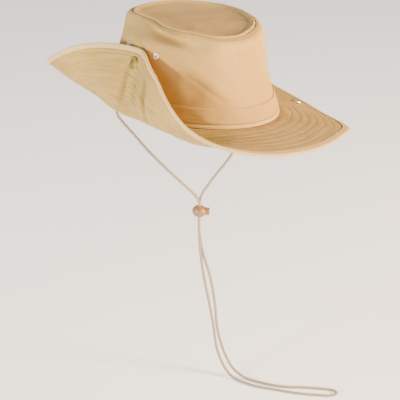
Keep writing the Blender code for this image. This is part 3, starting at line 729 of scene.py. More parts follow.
def new_material(name, code, roughness, metallic=0.0):
    """Plain material, with its shader."""
    material = bpy.data.materials.new(name)
    material.use_nodes = True
    shader = material.node_tree.nodes["Principled BSDF"]
    shader.inputs["Base Color"].default_value = colour(code)
    shader.inputs["Roughness"].default_value = roughness
    shader.inputs["Metallic"].default_value = metallic
    return material, shader


def twill(name, light, dark, turn=0.0, relief=1.0, pucker_painted_shade=0.0):
    """Woven cotton twill, darkened as painted shade where the hollow attribute says; streaks says how
    strongly the painted shade of fine quilting puckers darkens it.
    """
    material, shader = new_material(name, light, 0.86)
    shader.inputs["Sheen Weight"].default_value = 0.06
    shader.inputs["Sheen Roughness"].default_value = 0.55
    shader.inputs["Specular IOR Level"].default_value = 0.25
    places = add_node(material, "ShaderNodeTexCoord")
    cloth = add_node(material, "ShaderNodeUVMap", uv_map="cloth")
    slant = (0, 0, math.radians(TWILL_TURN + turn))
    turned = add_node(material, "ShaderNodeMapping", {"Rotation": slant},
                      {"Vector": cloth.outputs["UV"]})
    lines = add_node(material, "ShaderNodeTexWave", {
        "Scale": WAVE_PERIOD / TWILL_SPACING,
        "Distortion": 1.2,
        "Detail": 2.0,
        "Detail Scale": 1.5,
    }, {"Vector": turned.outputs["Vector"]})
    yarns = add_node(material, "ShaderNodeTexNoise", {"Scale": 1 / YARN_WIDTH, "Detail": 2.0},
                     {"Vector": turned.outputs["Vector"]})
    # Places some 40 mm across where washing has paled the cloth
    worn = add_node(material, "ShaderNodeTexNoise",
                    {"Scale": 1 / WORN_PLACE, "Detail": 4.0, "Roughness": 0.6},
                    {"Vector": places.outputs["Object"]})
    spread = add_node(material, "ShaderNodeMapRange", {"From Min": 0.32, "From Max": 0.68},
                      {"Value": worn.outputs["Fac"]})
    broad = add_node(material, "ShaderNodeMix", {MIX_FIRST: colour(light), MIX_SECOND: colour(dark)},
                     {MIX_FACTOR: spread.outputs["Result"]}, data_type="RGBA")
    weave = add_node(material, "ShaderNodeMix", {MIX_FACTOR: 0.16},
                     {MIX_FIRST: broad.outputs[MIX_RESULT], MIX_SECOND: lines.outputs["Color"]},
                     data_type="RGBA", blend_type="MULTIPLY")
    # Painted shade: the hollow attribute darkens the colour in the hollows of creases and grooves and in the
    # lines beside the stitches
    hollow = add_node(material, "ShaderNodeAttribute", attribute_name="hollow")
    shaded = add_node(material, "ShaderNodeMix", {MIX_SECOND: colour("C6C1AE")},
                      {MIX_FACTOR: hollow.outputs["Fac"], MIX_FIRST: weave.outputs[MIX_RESULT]},
                      data_type="RGBA", blend_type="MULTIPLY")
    if pucker_painted_shade:
        # Painted shade of fine puckers of the quilting that run round the brim beside the rows of stitches
        route = add_node(material, "ShaderNodeAttribute", attribute_name="round_brim")
        puckers = add_node(material, "ShaderNodeTexNoise",
                           {"Scale": 1.0, "Detail": 2.0, "Roughness": 0.55},
                           {"Vector": route.outputs["Vector"]})
        spaced = add_node(material, "ShaderNodeMapRange",
                          {"From Min": 0.40, "From Max": 0.62, "To Max": pucker_painted_shade},
                          {"Value": puckers.outputs["Fac"]})
        shaded = add_node(material, "ShaderNodeMix", {MIX_SECOND: colour("CFCBB8")},
                          {MIX_FACTOR: spaced.outputs["Result"], MIX_FIRST: shaded.outputs[MIX_RESULT]},
                          data_type="RGBA", blend_type="MULTIPLY")
    feed(material, shaded.outputs[MIX_RESULT], shader, "Base Color")
    heights = add_node(material, "ShaderNodeMath",
                       links={0: lines.outputs["Fac"], 1: yarns.outputs["Fac"]}, operation="ADD")
    bumps = add_node(material, "ShaderNodeBump", {"Strength": 0.35 * relief, "Distance": 0.0002},
                     {"Height": heights.outputs["Value"]})
    feed(material, bumps.outputs["Normal"], shader, "Normal")
    return material


def thread(name, light, dark):
    """Twisted sewing thread."""
    material, shader = new_material(name, light, 0.6)
    places = add_node(material, "ShaderNodeTexCoord")
    twist = add_node(material, "ShaderNodeTexNoise", {"Scale": 1 / THREAD_TWIST, "Detail": 2.0},
                     {"Vector": places.outputs["Object"]})
    mixed = add_node(material, "ShaderNodeMix", {MIX_FIRST: colour(light), MIX_SECOND: colour(dark)},
                     {MIX_FACTOR: twist.outputs["Fac"]}, data_type="RGBA")
    feed(material, mixed.outputs[MIX_RESULT], shader, "Base Color")
    return material


def braid(name, light, dark):
    """Braided cotton cord, its colour darkened between its strands as painted shade."""
    material, shader = new_material(name, light, 0.8)
    shader.inputs["Sheen Weight"].default_value = 0.15
    hollow = add_node(material, "ShaderNodeAttribute", attribute_name="hollow")
    mixed = add_node(material, "ShaderNodeMix", {MIX_FIRST: colour(light), MIX_SECOND: colour(dark)},
                     {MIX_FACTOR: hollow.outputs["Fac"]}, data_type="RGBA")
    feed(material, mixed.outputs[MIX_RESULT], shader, "Base Color")
    places = add_node(material, "ShaderNodeTexCoord")
    fibres = add_node(material, "ShaderNodeTexNoise", {"Scale": 1 / CORD_FIBRE, "Detail": 2.0},
                      {"Vector": places.outputs["Object"]})
    fuzz = add_node(material, "ShaderNodeBump", {"Strength": 0.4, "Distance": 0.0001},
                    {"Height": fibres.outputs["Fac"]})
    feed(material, fuzz.outputs["Normal"], shader, "Normal")
    return material


def metal(name, light, dark, roughness, mark):
    """Tumbled or brushed metal with faint handling marks of a size."""
    material, shader = new_material(name, light, roughness, 1.0)
    places = add_node(material, "ShaderNodeTexCoord")
    marks = add_node(material, "ShaderNodeTexNoise",
                     {"Scale": 1 / mark, "Detail": 4.0, "Roughness": 0.6},
                     {"Vector": places.outputs["Object"]})
    mixed = add_node(material, "ShaderNodeMix", {MIX_FIRST: colour(light), MIX_SECOND: colour(dark)},
                     {MIX_FACTOR: marks.outputs["Fac"]}, data_type="RGBA")
    feed(material, mixed.outputs[MIX_RESULT], shader, "Base Color")
    rough = add_node(material, "ShaderNodeMapRange",
                     {"To Min": roughness * 0.75, "To Max": roughness * 1.3},
                     {"Value": marks.outputs["Fac"]})
    feed(material, rough.outputs["Result"], shader, "Roughness")
    return material


def wood(name, light, dark, grain_turn):
    """Turned hardwood under a thin varnish."""
    material, shader = new_material(name, light, 0.38)
    shader.inputs["Coat Weight"].default_value = 0.25
    shader.inputs["Coat Roughness"].default_value = 0.25
    places = add_node(material, "ShaderNodeTexCoord")
    turned = add_node(material, "ShaderNodeMapping",
                      {"Rotation": grain_turn, "Scale": (1.0, 1.0, 0.22)},
                      {"Vector": places.outputs["Object"]})
    rings = add_node(material, "ShaderNodeTexWave", {
        "Scale": WAVE_PERIOD / WOOD_RING_SPACING,
        "Distortion": 3.5,
        "Detail": 3.0,
        "Detail Scale": 2.0,
    }, {"Vector": turned.outputs["Vector"]}, wave_type="RINGS")
    pores = add_node(material, "ShaderNodeTexNoise", {"Scale": 1 / WOOD_PORE, "Detail": 3.0},
                     {"Vector": turned.outputs["Vector"]})
    both = add_node(material, "ShaderNodeMath",
                    links={0: rings.outputs["Fac"], 1: pores.outputs["Fac"]}, operation="MULTIPLY")
    mixed = add_node(material, "ShaderNodeMix", {MIX_FIRST: colour(light), MIX_SECOND: colour(dark)},
                     {MIX_FACTOR: both.outputs["Value"]}, data_type="RGBA")
    feed(material, mixed.outputs[MIX_RESULT], shader, "Base Color")
    return material


# Cloth pieces


def new_piece(name, vertices, faces, uvs, material, painted_shades=None):
    """Mesh piece with its cloth coordinates in metres; uvs holds one pair for each vertex of each face.

    hollows gives each vertex its painted shade: how dark its colour is made in a crease, groove or hollow,
    from 0 to 1.
    """
    mesh = bpy.data.meshes.new(name)
    mesh.from_pydata(vertices, [], faces)
    layer = mesh.uv_layers.new(name="cloth")
    layer.uv.foreach_set("vector", [value for pair in uvs for value in pair])
    if painted_shades:
        mesh.attributes.new("hollow", "FLOAT", "POINT").data.foreach_set("value", painted_shades)
    mesh.materials.append(material)
    mesh.shade_smooth()
    mesh.update()
    piece = bpy.data.objects.new(name, mesh)
    bpy.context.collection.objects.link(piece)
    return piece


def stand_for(piece, node, body="hat"):
    """Let a piece ride on its body in place of a node of the frame, which is hidden."""
    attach(piece, body)
    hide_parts(node)


def ring_piece(name, sections, flat, material, painted_shades=None):
    """Cloth that runs round the hat, from sections of points, one section for each angle.

    flat(column, row) is a point's place on the cloth as cut, in metres. Columns may run past the last.
    """
    columns = len(sections)
    rows = len(sections[0])
    vertices = [point for section in sections for point in section]
    faces = []
    uvs = []
    for column in range(columns):
        after = (column + 1) % columns
        for row in range(rows):
            above = (row + 1) % rows
            here = column * rows
            there = after * rows
            faces.append((here + row, there + row, there + above, here + above))
            uvs += [flat(column, row), flat(column + 1, row)]
            uvs += [flat(column + 1, above), flat(column, above)]
    return new_piece(name, vertices, faces, uvs, material, painted_shades)


def strip_flat(sections, length):
    """Flat places of a strip of cloth: along it, and across it."""
    widths = [0.0]
    for point, after in zip(sections[0], sections[0][1:]):
        widths.append(widths[-1] + (after - point).length)
    return lambda column, row: (length * column / len(sections), widths[row])


def crown_rows():
    """Heights of the crown's rows, with the share of the way in that goes with each."""
    curve = smooth_line([(share, reach, 0) for share, reach in CROWN_PROFILE], CROWN_ROW_STEPS)
    rows = [(-SEAM_ALLOWANCE / CROWN_HEIGHT, 0.0)]
    return rows + [(point.x, min(1.0, max(0.0, point.y))) for point in curve]


def make_crown_side(material):
    """Side wall of the crown, with small wrinkles above the band and puckers at the top seam."""
    rows = crown_rows()
    grid = []
    for column in range(CROWN_STEPS):
        angle = 360 * column / CROWN_STEPS
        wall = [crown_point(angle, share, 0.0, reach) for share, reach in rows]
        turned = [wall[-1] - outward(angle) * inwards - Vector((0, 0, down))
                  for inwards, down, cloth in TURNED_IN]
        grid.append(wall + turned)
    thicknesses = [CROWN_CLOTH] * len(rows) + [cloth for inwards, down, cloth in TURNED_IN]
    sections = []
    for column, outer in enumerate(grid):
        before = grid[column - 1]
        after = grid[(column + 1) % CROWN_STEPS]
        inner = []
        for row, point in enumerate(outer):
            low = outer[max(0, row - 1)]
            high = outer[min(len(outer) - 1, row + 1)]
            normal = (after[row] - before[row]).cross(high - low).normalized()
            inner.append(point - normal * thicknesses[row])
        sections.append(outer + inner[::-1])
    # Painted shade: the colour is darkened in the creases, under the top seam and on the turned-in seam
    # allowance
    painted_shades = []
    for column in range(CROWN_STEPS):
        angle = 360 * column / CROWN_STEPS
        painted_shades += [crown_painted_shade(angle, share) for share, reach in rows] + [1.0] * len(TURNED_IN)
        painted_shades += [0.0] * len(thicknesses)
    wall = ring_piece("crown_side_cloth", sections, strip_flat(sections, MEAN_LENGTH), material, painted_shades)
    holes = [(angle, height / CROWN_HEIGHT, EYELET_HOLE / 2 + EYELET_ROOM)
             for name, angle, height in EYELETS]
    stud_share = snap_pull()[1]
    holes += [(angle, stud_share, SNAP_POST / 2 + GAP) for angle in (SNAP_LEFT_ANGLE, SNAP_RIGHT_ANGLE)]
    for angle, share, radius in holes:
        bore(wall, crown_point(angle, share), crown_normal(angle, share), radius)
    stand_for(wall, "crown_side")


def bore(piece, point, direction, radius):
    """Round hole through a cloth wall."""
    bpy.ops.object.select_all(action="DESELECT")
    bpy.ops.mesh.primitive_cylinder_add(vertices=BORE_SIDES, radius=radius, depth=BORE_DEPTH,
                                        location=point,
                                        rotation=direction.to_track_quat("Z", "Y").to_euler())
    cutter = bpy.context.object
    cutter.name = piece.name + "_cutter"
    apply_boolean(piece, cutter)


def apply_boolean(piece, cutter):
    """Cut one piece with another and remove the cutter."""
    bpy.ops.object.select_all(action="DESELECT")
    piece.select_set(True)
    bpy.context.view_layer.objects.active = piece
    modifier = piece.modifiers.new("cut", "BOOLEAN")
    modifier.operation = "DIFFERENCE"
    modifier.solver = "EXACT"
    modifier.object = cutter
    bpy.ops.object.modifier_apply(modifier="cut")
    bpy.data.objects.remove(cutter, do_unlink=True)


def tip_profile():
    """Share of the outline and height of each ring of the top panel, from its seam inwards."""
    rows = [(outline, TIP_ROLL * rolls + TIP_SINK * sinks, 0)
            for name, outline, rolls, sinks in TIP_PROFILE]
    return [(point.x, point.y) for point in smooth_line(rows, TIP_ROW_STEPS)]


def make_crown_tip(material):
    """Top panel of the crown, sunk inside its rolled seam."""
    angles = [360 * column / CROWN_STEPS for column in range(CROWN_STEPS)]
    seam = [crown_point(angle, 1.0, -TIP_INSET) for angle in angles]
    middle = sum(seam, Vector()) / len(seam)
    rings = []
    painted_shades = []
    for outline, height in tip_profile():
        # Painted shade in the groove inside the top panel's roll
        painted_shades += [groove_shade("inside the top panel's roll", angle, outline) for angle in angles]
        ring = []
        for point in seam:
            place = middle.lerp(point, outline)
            soft = lumps("top panel, broad", place) + lumps("top panel, small", place)
            place.z += height + soft * ramp(1 - outline, TIP_EVEN_EDGE, TIP_UNEVEN)
            place.z += lumps("top panel, roll", place) * bump(outline - ROLL_MIDDLE, ROLL_REACH)
            ring.append(place)
        rings.append(ring)
    vertices = [point for ring in rings for point in ring]
    top = middle.copy()
    top.z += lumps("top panel, broad", top) + lumps("top panel, small", top) - TIP_SINK * TIP_MIDDLE_SINK
    vertices.append(top)
    count = len(vertices)
    vertices += [point - Vector((0, 0, CROWN_CLOTH)) for point in vertices]
    faces = []
    for level in range(len(rings) - 1):
        for column in range(CROWN_STEPS):
            after = (column + 1) % CROWN_STEPS
            outer, inner = level * CROWN_STEPS, (level + 1) * CROWN_STEPS
            faces.append((outer + column, outer + after, inner + after, inner + column))
            faces.append((count + inner + column, count + inner + after, count + outer + after,
                          count + outer + column))
    last = (len(rings) - 1) * CROWN_STEPS
    for column in range(CROWN_STEPS):
        after = (column + 1) % CROWN_STEPS
        faces.append((last + column, last + after, count - 1))
        faces.append((count + last + after, count + last + column, 2 * count - 1))
        faces.append((count + column, count + after, after, column))
    uvs = [(vertices[index].x, vertices[index].y) for face in faces for index in face]
    painted_shades += [0.0] * (len(vertices) - len(painted_shades))
    panel = new_piece("crown_tip_cloth", vertices, faces, uvs, material, painted_shades)
    stand_for(panel, "crown_tip")


def band_fold(angle, height):
    """Height of the long soft folds that run along the band, strongest at the left front."""
    turn = math.radians(angle)
    arc = Vector((math.cos(turn), math.sin(turn), 0)) * MEAN_RADIUS
    route = height * BAND_FOLD_STRETCH + lumps("band, route of its folds", arc)
    place = arc + Vector((0, 0, route))
    strength = strongest_at(angle, BAND_FOLD_ANGLE, BAND_FOLD_ROUND, BAND_FOLD_LEAST)
    folds = max(0.0, lumps("band, share, long", place)) + max(0.0, lumps("band, share, short", place))
    across = (height - WELT_HEIGHT) / BAND_HEIGHT
    return BAND_FOLD * strength * folds * bump(across - BAND_FOLD_MIDDLE, BAND_FOLD_REACH)


def make_band(material):
    """Band round the foot of the crown, its top edge turned under."""
    foot = BRIM_CLOTH / 2 + GAP + WELT_HEIGHT + GAP
    heights = [foot + BAND_HEIGHT * step / BAND_STEPS for step in range(BAND_STEPS + 1)]
    sections = []
    for column in range(CROWN_STEPS):
        angle = 360 * column / CROWN_STEPS
        outer = []
        for step, height in enumerate(heights):
            edge = BAND_EDGE if step in (0, BAND_STEPS) else 1.0
            out = GAP + BAND_CLOTH * edge + band_fold(angle, height)
            outer.append(crown_point(angle, height / CROWN_HEIGHT, out))
        inner = [crown_point(angle, height / CROWN_HEIGHT, GAP) for height in heights[::-2]]
        sections.append(outer + inner)
    band = ring_piece("hat_band_cloth", sections, strip_flat(sections, BAND_LENGTH), material)
    stand_for(band, "hat_band")


def make_welt(material):
    """Rounded light strip where the crown is sewn to the brim."""
    foot = BRIM_CLOTH / 2 + GAP
    sections = []
    for column in range(CROWN_STEPS):
        angle = 360 * column / CROWN_STEPS
        place = outward(angle) * MEAN_RADIUS
        outer = []
        for step in range(WELT_STEPS + 1):
            turn = math.pi * step / WELT_STEPS
            height = foot + WELT_HEIGHT * (1 - math.cos(turn)) / 2
            swell = WELT_EDGE + (1 - WELT_EDGE) * math.sin(turn) ** WELT_ROUNDNESS
            swell = min(1.0, swell + lumps("welt, share", place))
            outer.append(crown_point(angle, height / CROWN_HEIGHT, GAP + WELT_CLOTH * swell))
        inner = [crown_point(angle, (foot + WELT_HEIGHT * part) / CROWN_HEIGHT, GAP)
                 for part in (1.0, 0.5, 0.0)]
        sections.append(outer + inner)
    welt = ring_piece("band_welt_cloth", sections, strip_flat(sections, WELT_LENGTH), material)
    stand_for(welt, "band_welt")


def brim_distances(side):
    """Distances from the crown at which the brim's cloth is drawn, closest together at the stitches."""
    distances = [0.0, 0.0012, ledge(), ledge() + 0.0007, *LINES_BEFORE_ROWS]
    for row in range(ROW_COUNT):
        start = FIRST_ROW + row * ROW_SPACING
        distances += [start + ROW_SPACING * share for share in LINES_BETWEEN_ROWS]
    edge = BRIM_WIDTH - tape_width(side)
    distances = [distance for distance in distances if distance < edge - 0.0003]
    return distances + [edge, (edge + BRIM_WIDTH) / 2, BRIM_WIDTH]


def brim_flat(distances):
    """Flat places on the brim as cut: an oval ring."""
    def flat(column, row):
        angle = 360 * column / ROUND_STEPS
        place = oval(angle, HEAD_LENGTH, HEAD_WIDTH) + outward(angle) * distances[row]
        return place.x, place.y
    return flat


def make_brim(material):
    """Quilted brim of two layers, swelling between its rows of stitches."""
    places = [(distance, -1) for distance in brim_distances(-1)]
    places += [(distance, 1) for distance in brim_distances(1)[::-1]]
    sections = []
    for column in range(ROUND_STEPS):
        angle = 360 * column / ROUND_STEPS
        sections.append([brim_face(angle, distance, side)[0] for distance, side in places])
    # Painted shade in the creases of the turned-up side and beside the rows of stitches
    painted_shades = [brim_painted_shade(360 * column / ROUND_STEPS, distance, side)
               for column in range(ROUND_STEPS) for distance, side in places]
    flat = brim_flat([distance for distance, side in places])
    brim = ring_piece("brim_cloth", sections, flat, material, painted_shades)
    # Routes along which the painted shade of fine puckers runs round the brim
    routes = []
    for column in range(ROUND_STEPS):
        turn = math.tau * column / ROUND_STEPS
        level = PUCKERS_ROUND * math.cos(turn)
        upright = PUCKERS_ROUND * math.sin(turn)
        for distance, side in places:
            routes += [distance / PUCKER_SPACING, level, upright + FACES_APART * side]
    brim.data.attributes.new("round_brim", "FLOAT_VECTOR", "POINT").data.foreach_set("vector", routes)
    for angle, inset in ((SNAP_LEFT_ANGLE, SNAP_LEFT_INSET), (SNAP_RIGHT_ANGLE, SNAP_RIGHT_INSET)):
        point, normal = snap_place(angle, inset)
        bore(brim, point, normal, SNAP_POST / 2 + GAP)
    stand_for(brim, "brim")


def binding_section(angle):
    """Section of the tape folded round the brim's edge: outside, then back along its inside."""
    near = BRIM_EDGE_CLOTH / 2 + GAP
    far = near + BINDING_CLOTH
    edge, normal = brim_place(angle, 1.0)
    before, _ = brim_place(angle, 1 - 0.5 / PATH_STEPS)
    on = (edge - before).normalized()
    arc = outward(angle) * MEAN_EDGE_RADIUS
    gather = lumps("tape, gathers", arc) + lumps("tape, broad", arc)
    faces = {}
    backs = {}
    for side in (1, -1):
        faces[side] = []
        backs[side] = []
        for step, part in enumerate(BINDING_PLACES):
            point, way = brim_place(angle, 1 - (tape_width(side) - GAP) / BRIM_WIDTH * part)
            # The gathers grow towards the brim's edge
            uneven = gather * (0.4 + step / 8)
            thickness = BINDING_CLOTH * BINDING_EDGE if step == 0 else BINDING_CLOTH + uneven
            faces[side].append(point + way * side * (near + thickness))
            backs[side].append(point + way * side * near)
    round_edge = []
    for step in range(7):
        turn = math.pi * step / 6
        round_edge.append(edge + (normal * math.cos(turn) + on * math.sin(turn)) * far)
    fold = [edge - normal * near, edge + on * near, edge + normal * near]
    return faces[1] + round_edge + faces[-1][::-1] + backs[-1][::2] + fold + backs[1][::-2]


def make_binding(material):
    """Bias tape round the brim's edge, slightly gathered as it was eased round the curve."""
    sections = [binding_section(360 * column / ROUND_STEPS)[::-1] for column in range(ROUND_STEPS)]
    tape = ring_piece("brim_binding_cloth", sections, strip_flat(sections, BINDING_LENGTH), material)
    stand_for(tape, "brim_binding")


def squared(value):
    """A sine or cosine as a share from 0 to 1, which turns a round section into a nearly square one."""
    return 0.5 + 0.5 * math.copysign(abs(value) ** 0.5, value)


def make_cord_tab(name, angle, material):
    """Small tab folded double and sewn inside the crown's foot, over an end of the cord."""
    inside = -CROWN_CLOTH - GAP * 1.5
    spread = math.degrees(CORD_TAB_WIDTH / 2 / (HEAD_WIDTH / 2))
    sections = []
    for column in range(2 * CORD_TAB_STEPS + 1):
        place = column / CORD_TAB_STEPS - 1
        section = []
        for step in range(CORD_TAB_SIDES):
            turn = math.tau * step / CORD_TAB_SIDES
            share = (CORD_DIAMETER + CORD_TAB_HEIGHT * squared(math.sin(turn))) / CROWN_HEIGHT
            thin = 1 - CORD_TAB_THINNING * abs(place) ** 4
            depth = CORD_TAB_DEPTH * squared(math.cos(turn)) * thin
            section.append(crown_point(angle + spread * place, share, inside - depth))
        sections.append(section)
    vertices = [point for section in sections for point in section]
    rows = len(sections[0])
    faces = []
    for column in range(len(sections) - 1):
        for row in range(rows):
            above = (row + 1) % rows
            faces.append((column * rows + row, column * rows + above, (column + 1) * rows + above,
                          (column + 1) * rows + row))
    faces.append(tuple(range(rows))[::-1])
    faces.append(tuple((len(sections) - 1) * rows + row for row in range(rows)))
    uvs = [(vertices[index].y, vertices[index].z) for face in faces for index in face]
    tab = new_piece(name + "_cloth", vertices, faces, uvs, material)
    make_normals_face_out(tab)
    stand_for(tab, name)


def make_normals_face_out(piece):
    """Turn a closed piece's faces outwards."""
    bm = bmesh.new()
    bm.from_mesh(piece.data)
    bmesh.ops.recalc_face_normals(bm, faces=bm.faces)
    bm.to_mesh(piece.data)
    bm.free()


# Stitches


def add_stitch(vertices, faces, start, end, normal, width, height):
    """One small arch of thread, its ends sunk in the cloth."""
    along = end - start
    side = along.cross(normal).normalized() * width / 2
    first = len(vertices)
    vertices.append(start - normal * height * STITCH_SINK)
    for share in STITCH_SHOULDERS:
        middle = start + along * share
        low = middle - normal * height * STITCH_BELLY
        high = middle + normal * height
        vertices.extend((middle + side, high, middle - side, low))
    vertices.append(end - normal * height * STITCH_SINK)
    last = first + 9
    for index in range(4):
        after = (index + 1) % 4
        faces.append((first, first + 1 + index, first + 1 + after))
        faces.append((first + 1 + index, first + 5 + index, first + 5 + after, first + 1 + after))
        faces.append((last, first + 5 + after, first + 5 + index))


def sew(vertices, faces, line, pitch, length, width, height):
    """Row of stitches along a closed line of (point, normal) pairs."""
    line = line + [line[0]]
    gone = [0.0]
    for (point, _), (after, _) in zip(line, line[1:]):
        gone.append(gone[-1] + (after - point).length)
    count = round(gone[-1] / pitch)
    pitch = gone[-1] / count
    length = min(length, pitch * STITCH_SHARE)

    def at(distance, index):
        while index < len(gone) - 2 and gone[index + 1] < distance:
            index += 1
        part = (distance - gone[index]) / max(1e-9, gone[index + 1] - gone[index])
        point = line[index][0].lerp(line[index + 1][0], part)
        return point, line[index][1].lerp(line[index + 1][1], part).normalized(), index

    index = 0
    for stitch in range(count):
        start, normal, index = at(stitch * pitch, index)
        end, _, _ = at(stitch * pitch + length, index)
        add_stitch(vertices, faces, start, end, normal, width, height)


def stitch_piece(name, lines, material):
    """Rows of stitches as one piece of many small threads."""
    vertices = []
    faces = []
    for line in lines:
        sew(vertices, faces, line, *STITCHES[name])
    mesh = bpy.data.meshes.new(name)
    mesh.from_pydata(vertices, [], faces)
    mesh.materials.append(material)
    mesh.shade_smooth()
    piece = bpy.data.objects.new(name, mesh)
    bpy.context.collection.objects.link(piece)
    make_normals_face_out(piece)
    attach(piece, "hat")
    return piece


def brim_line(distance, side):
    """Line round the brim at a distance from the crown, on its upper or under face."""
    return [brim_face(360 * column / ROUND_STEPS, distance, side) for column in range(ROUND_STEPS)]


def binding_line(side):
    """Line round the binding near its inner edge, on its upper or under face."""
    line = []
    for column in range(ROUND_STEPS):
        angle = 360 * column / ROUND_STEPS
        point, normal = brim_place(angle, 1 - (tape_width(side) - BINDING_STITCH_INSET) / BRIM_WIDTH)
        height = BRIM_EDGE_CLOTH / 2 + GAP + BINDING_CLOTH
        line.append((point + normal * side * height, normal * side))
    return line


def crown_line(height, out):
    """Line round the crown at a height."""
    line = []
    for column in range(CROWN_STEPS):
        angle = 360 * column / CROWN_STEPS
        share = height / CROWN_HEIGHT
        line.append((crown_point(angle, share, out), crown_normal(angle, share)))
    return line


def make_stitches(material, under_material):
    """Rows of stitches on the brim, and the topstitching on binding, band and top seam."""
    rows = [FIRST_ROW + ROW_SPACING * row for row in range(ROW_COUNT)]
    stitch_piece("brim_stitches_upper", [brim_line(row, 1) for row in rows], material)
    stitch_piece("brim_stitches_under", [brim_line(row, -1) for row in rows], under_material)
    stitch_piece("binding_stitches", [binding_line(1), binding_line(-1)], material)
    top = BRIM_CLOTH / 2 + GAP + WELT_HEIGHT + GAP + BAND_HEIGHT
    stitch_piece("band_stitches", [crown_line(top - BAND_STITCH_INSET, GAP + BAND_CLOTH)], under_material)
    stitch_piece("top_seam_stitches", [crown_line(CROWN_HEIGHT * TOP_SEAM_SHARE, 0.0)], under_material)


# Metal fittings


def lathe(name, profile, point, direction, material, closed=False):
    """Round piece drawn up ring by ring from a circle, through (radius, height) pairs."""
    bpy.ops.object.select_all(action="DESELECT")
    radius, height = profile[0]
    bpy.ops.mesh.primitive_circle_add(vertices=LATHE_SIDES, radius=radius, location=(0, 0, 0),
                                      fill_type="NOTHING" if closed else "NGON")
    piece = bpy.context.object
    piece.name = name
    bpy.ops.object.mode_set(mode="EDIT")
    bpy.ops.mesh.select_all(action="SELECT")
    bpy.ops.transform.translate(value=(0, 0, height))
    if not closed:
        bpy.ops.mesh.flip_normals()
    for next_radius, next_height in profile[1:]:
        bpy.ops.mesh.extrude_region_move(TRANSFORM_OT_translate={"value": (0, 0, next_height - height)})
        if next_radius <= 0:
            bpy.ops.mesh.merge(type="CENTER")
            break
        size = next_radius / radius
        bpy.ops.transform.resize(value=(size, size, 1), center_override=(0, 0, next_height))
        radius, height = next_radius, next_height
    if closed:
        bpy.ops.mesh.select_all(action="DESELECT")
        bpy.ops.mesh.select_mode(type="EDGE")
        bpy.ops.mesh.select_non_manifold()
        bpy.ops.mesh.bridge_edge_loops()
    bpy.ops.mesh.select_all(action="SELECT")
    bpy.ops.mesh.normals_make_consistent(inside=False)
    bpy.ops.object.mode_set(mode="OBJECT")
    piece.location = point
    piece.rotation_euler = direction.to_track_quat("Z", "Y").to_euler()
    bpy.ops.object.transform_apply(location=True, rotation=True, scale=True)
    bpy.ops.object.shade_smooth_by_angle(angle=math.radians(METAL_SHARP_ANGLE))
    piece.data.materials.append(material)
    return piece


def round_edges(piece, width):
    """Round a piece's sharp edges."""
    modifier = piece.modifiers.new("edge", "BEVEL")
    modifier.width = width
    modifier.segments = 2
    modifier.limit_method = "ANGLE"
    modifier.angle_limit = math.radians(ROUNDED_ANGLE)
    bpy.ops.object.modifier_apply(modifier="edge")


def make_eyelet(name, angle, height, material):
    """Vent eyelet: a rolled flange outside, a flat one inside, and the barrel between them."""
    share = height / CROWN_HEIGHT
    point = crown_point(angle, share)
    normal = crown_normal(angle, share)
    outer = EYELET_DIAMETER / 2
    inner = EYELET_HOLE / 2
    wall = inner + EYELET_WALL
    inside = -CROWN_CLOTH - EYELET_BACK
    seat = EYELET_SEAT
    # Radius, and height above the cloth's outer face
    profile = (
        (inner, inside - 0.0003),
        (inner * 1.08, inside - 0.0006),
        (outer * 0.84, inside - 0.0006),
        (outer * 0.86, inside),
        (wall, inside),
        (wall, seat),
        (outer * 0.98, seat),
        (outer, seat + 0.00025),
        (outer * 0.93, seat + 0.00058),
        (outer * 0.80, seat + 0.00072),
        (outer * 0.62, seat + 0.00064),
        (inner * 1.12, seat + 0.00030),
        (inner, seat - 0.0002),
    )
    eyelet = lathe(name + "_metal", profile, point, normal, material, closed=True)
    stand_for(eyelet, name)


def make_snap_on_brim(side, angle, inset, brass, steel):
    """Ringed cap under the brim with its post, and the socket on the brim's upper face."""
    point, normal = snap_place(angle, inset)
    radius = SNAP_DIAMETER / 2
    seat = SNAP_SEAT
    post = SNAP_POST / 2
    # Radius, and height below the middle of the brim's cloth
    cap = (
        (post, -seat - SNAP_SOCKET_HEIGHT * 0.25),
        (post, seat),
        (radius * 0.96, seat),
        (radius, seat + SNAP_CAP_HEIGHT * 0.20),
        (radius, seat + SNAP_CAP_HEIGHT * 0.45),
        (radius * 0.95, seat + SNAP_CAP_HEIGHT * 0.72),
        (radius * 0.88, seat + SNAP_CAP_HEIGHT * 0.86),
        (radius * 0.80, seat + SNAP_CAP_HEIGHT * 0.85),
        (radius * 0.75, seat + SNAP_CAP_HEIGHT * 0.74),
        (radius * 0.70, seat + SNAP_CAP_HEIGHT * 0.69),
        (radius * 0.62, seat + SNAP_CAP_HEIGHT * 0.71),
        (radius * 0.54, seat + SNAP_CAP_HEIGHT * 0.80),
        (radius * 0.46, seat + SNAP_CAP_HEIGHT * 0.86),
        (radius * 0.16, seat + SNAP_CAP_HEIGHT * 0.90),
        (0, seat + SNAP_CAP_HEIGHT * 0.90),
    )
    button = lathe("snap_cap_" + side + "_metal", cap, point, -normal, brass)
    stand_for(button, "snap_cap_" + side)
    back = post + GAP
    # Radius, and height above the middle of the brim's cloth
    ring = (
        (back, seat),
        (radius * 0.80, seat),
        (radius * 0.82, seat + SNAP_SOCKET_HEIGHT * 0.16),
        (radius * 0.79, seat + SNAP_SOCKET_HEIGHT * 0.55),
        (radius * 0.72, seat + SNAP_SOCKET_HEIGHT * 0.84),
        (radius * 0.60, seat + SNAP_SOCKET_HEIGHT * 0.97),
        (radius * 0.50, seat + SNAP_SOCKET_HEIGHT),
        (SNAP_HOLLOW * 1.08, seat + SNAP_SOCKET_HEIGHT * 0.93),
        (SNAP_HOLLOW, seat + SNAP_SOCKET_HEIGHT * 0.80),
        (SNAP_HOLLOW, seat + SNAP_FLOOR),
        (back, seat + SNAP_FLOOR),
    )
    socket = lathe("snap_socket_" + side + "_metal", ring, point, normal, steel, closed=True)
    stand_for(socket, "snap_socket_" + side)


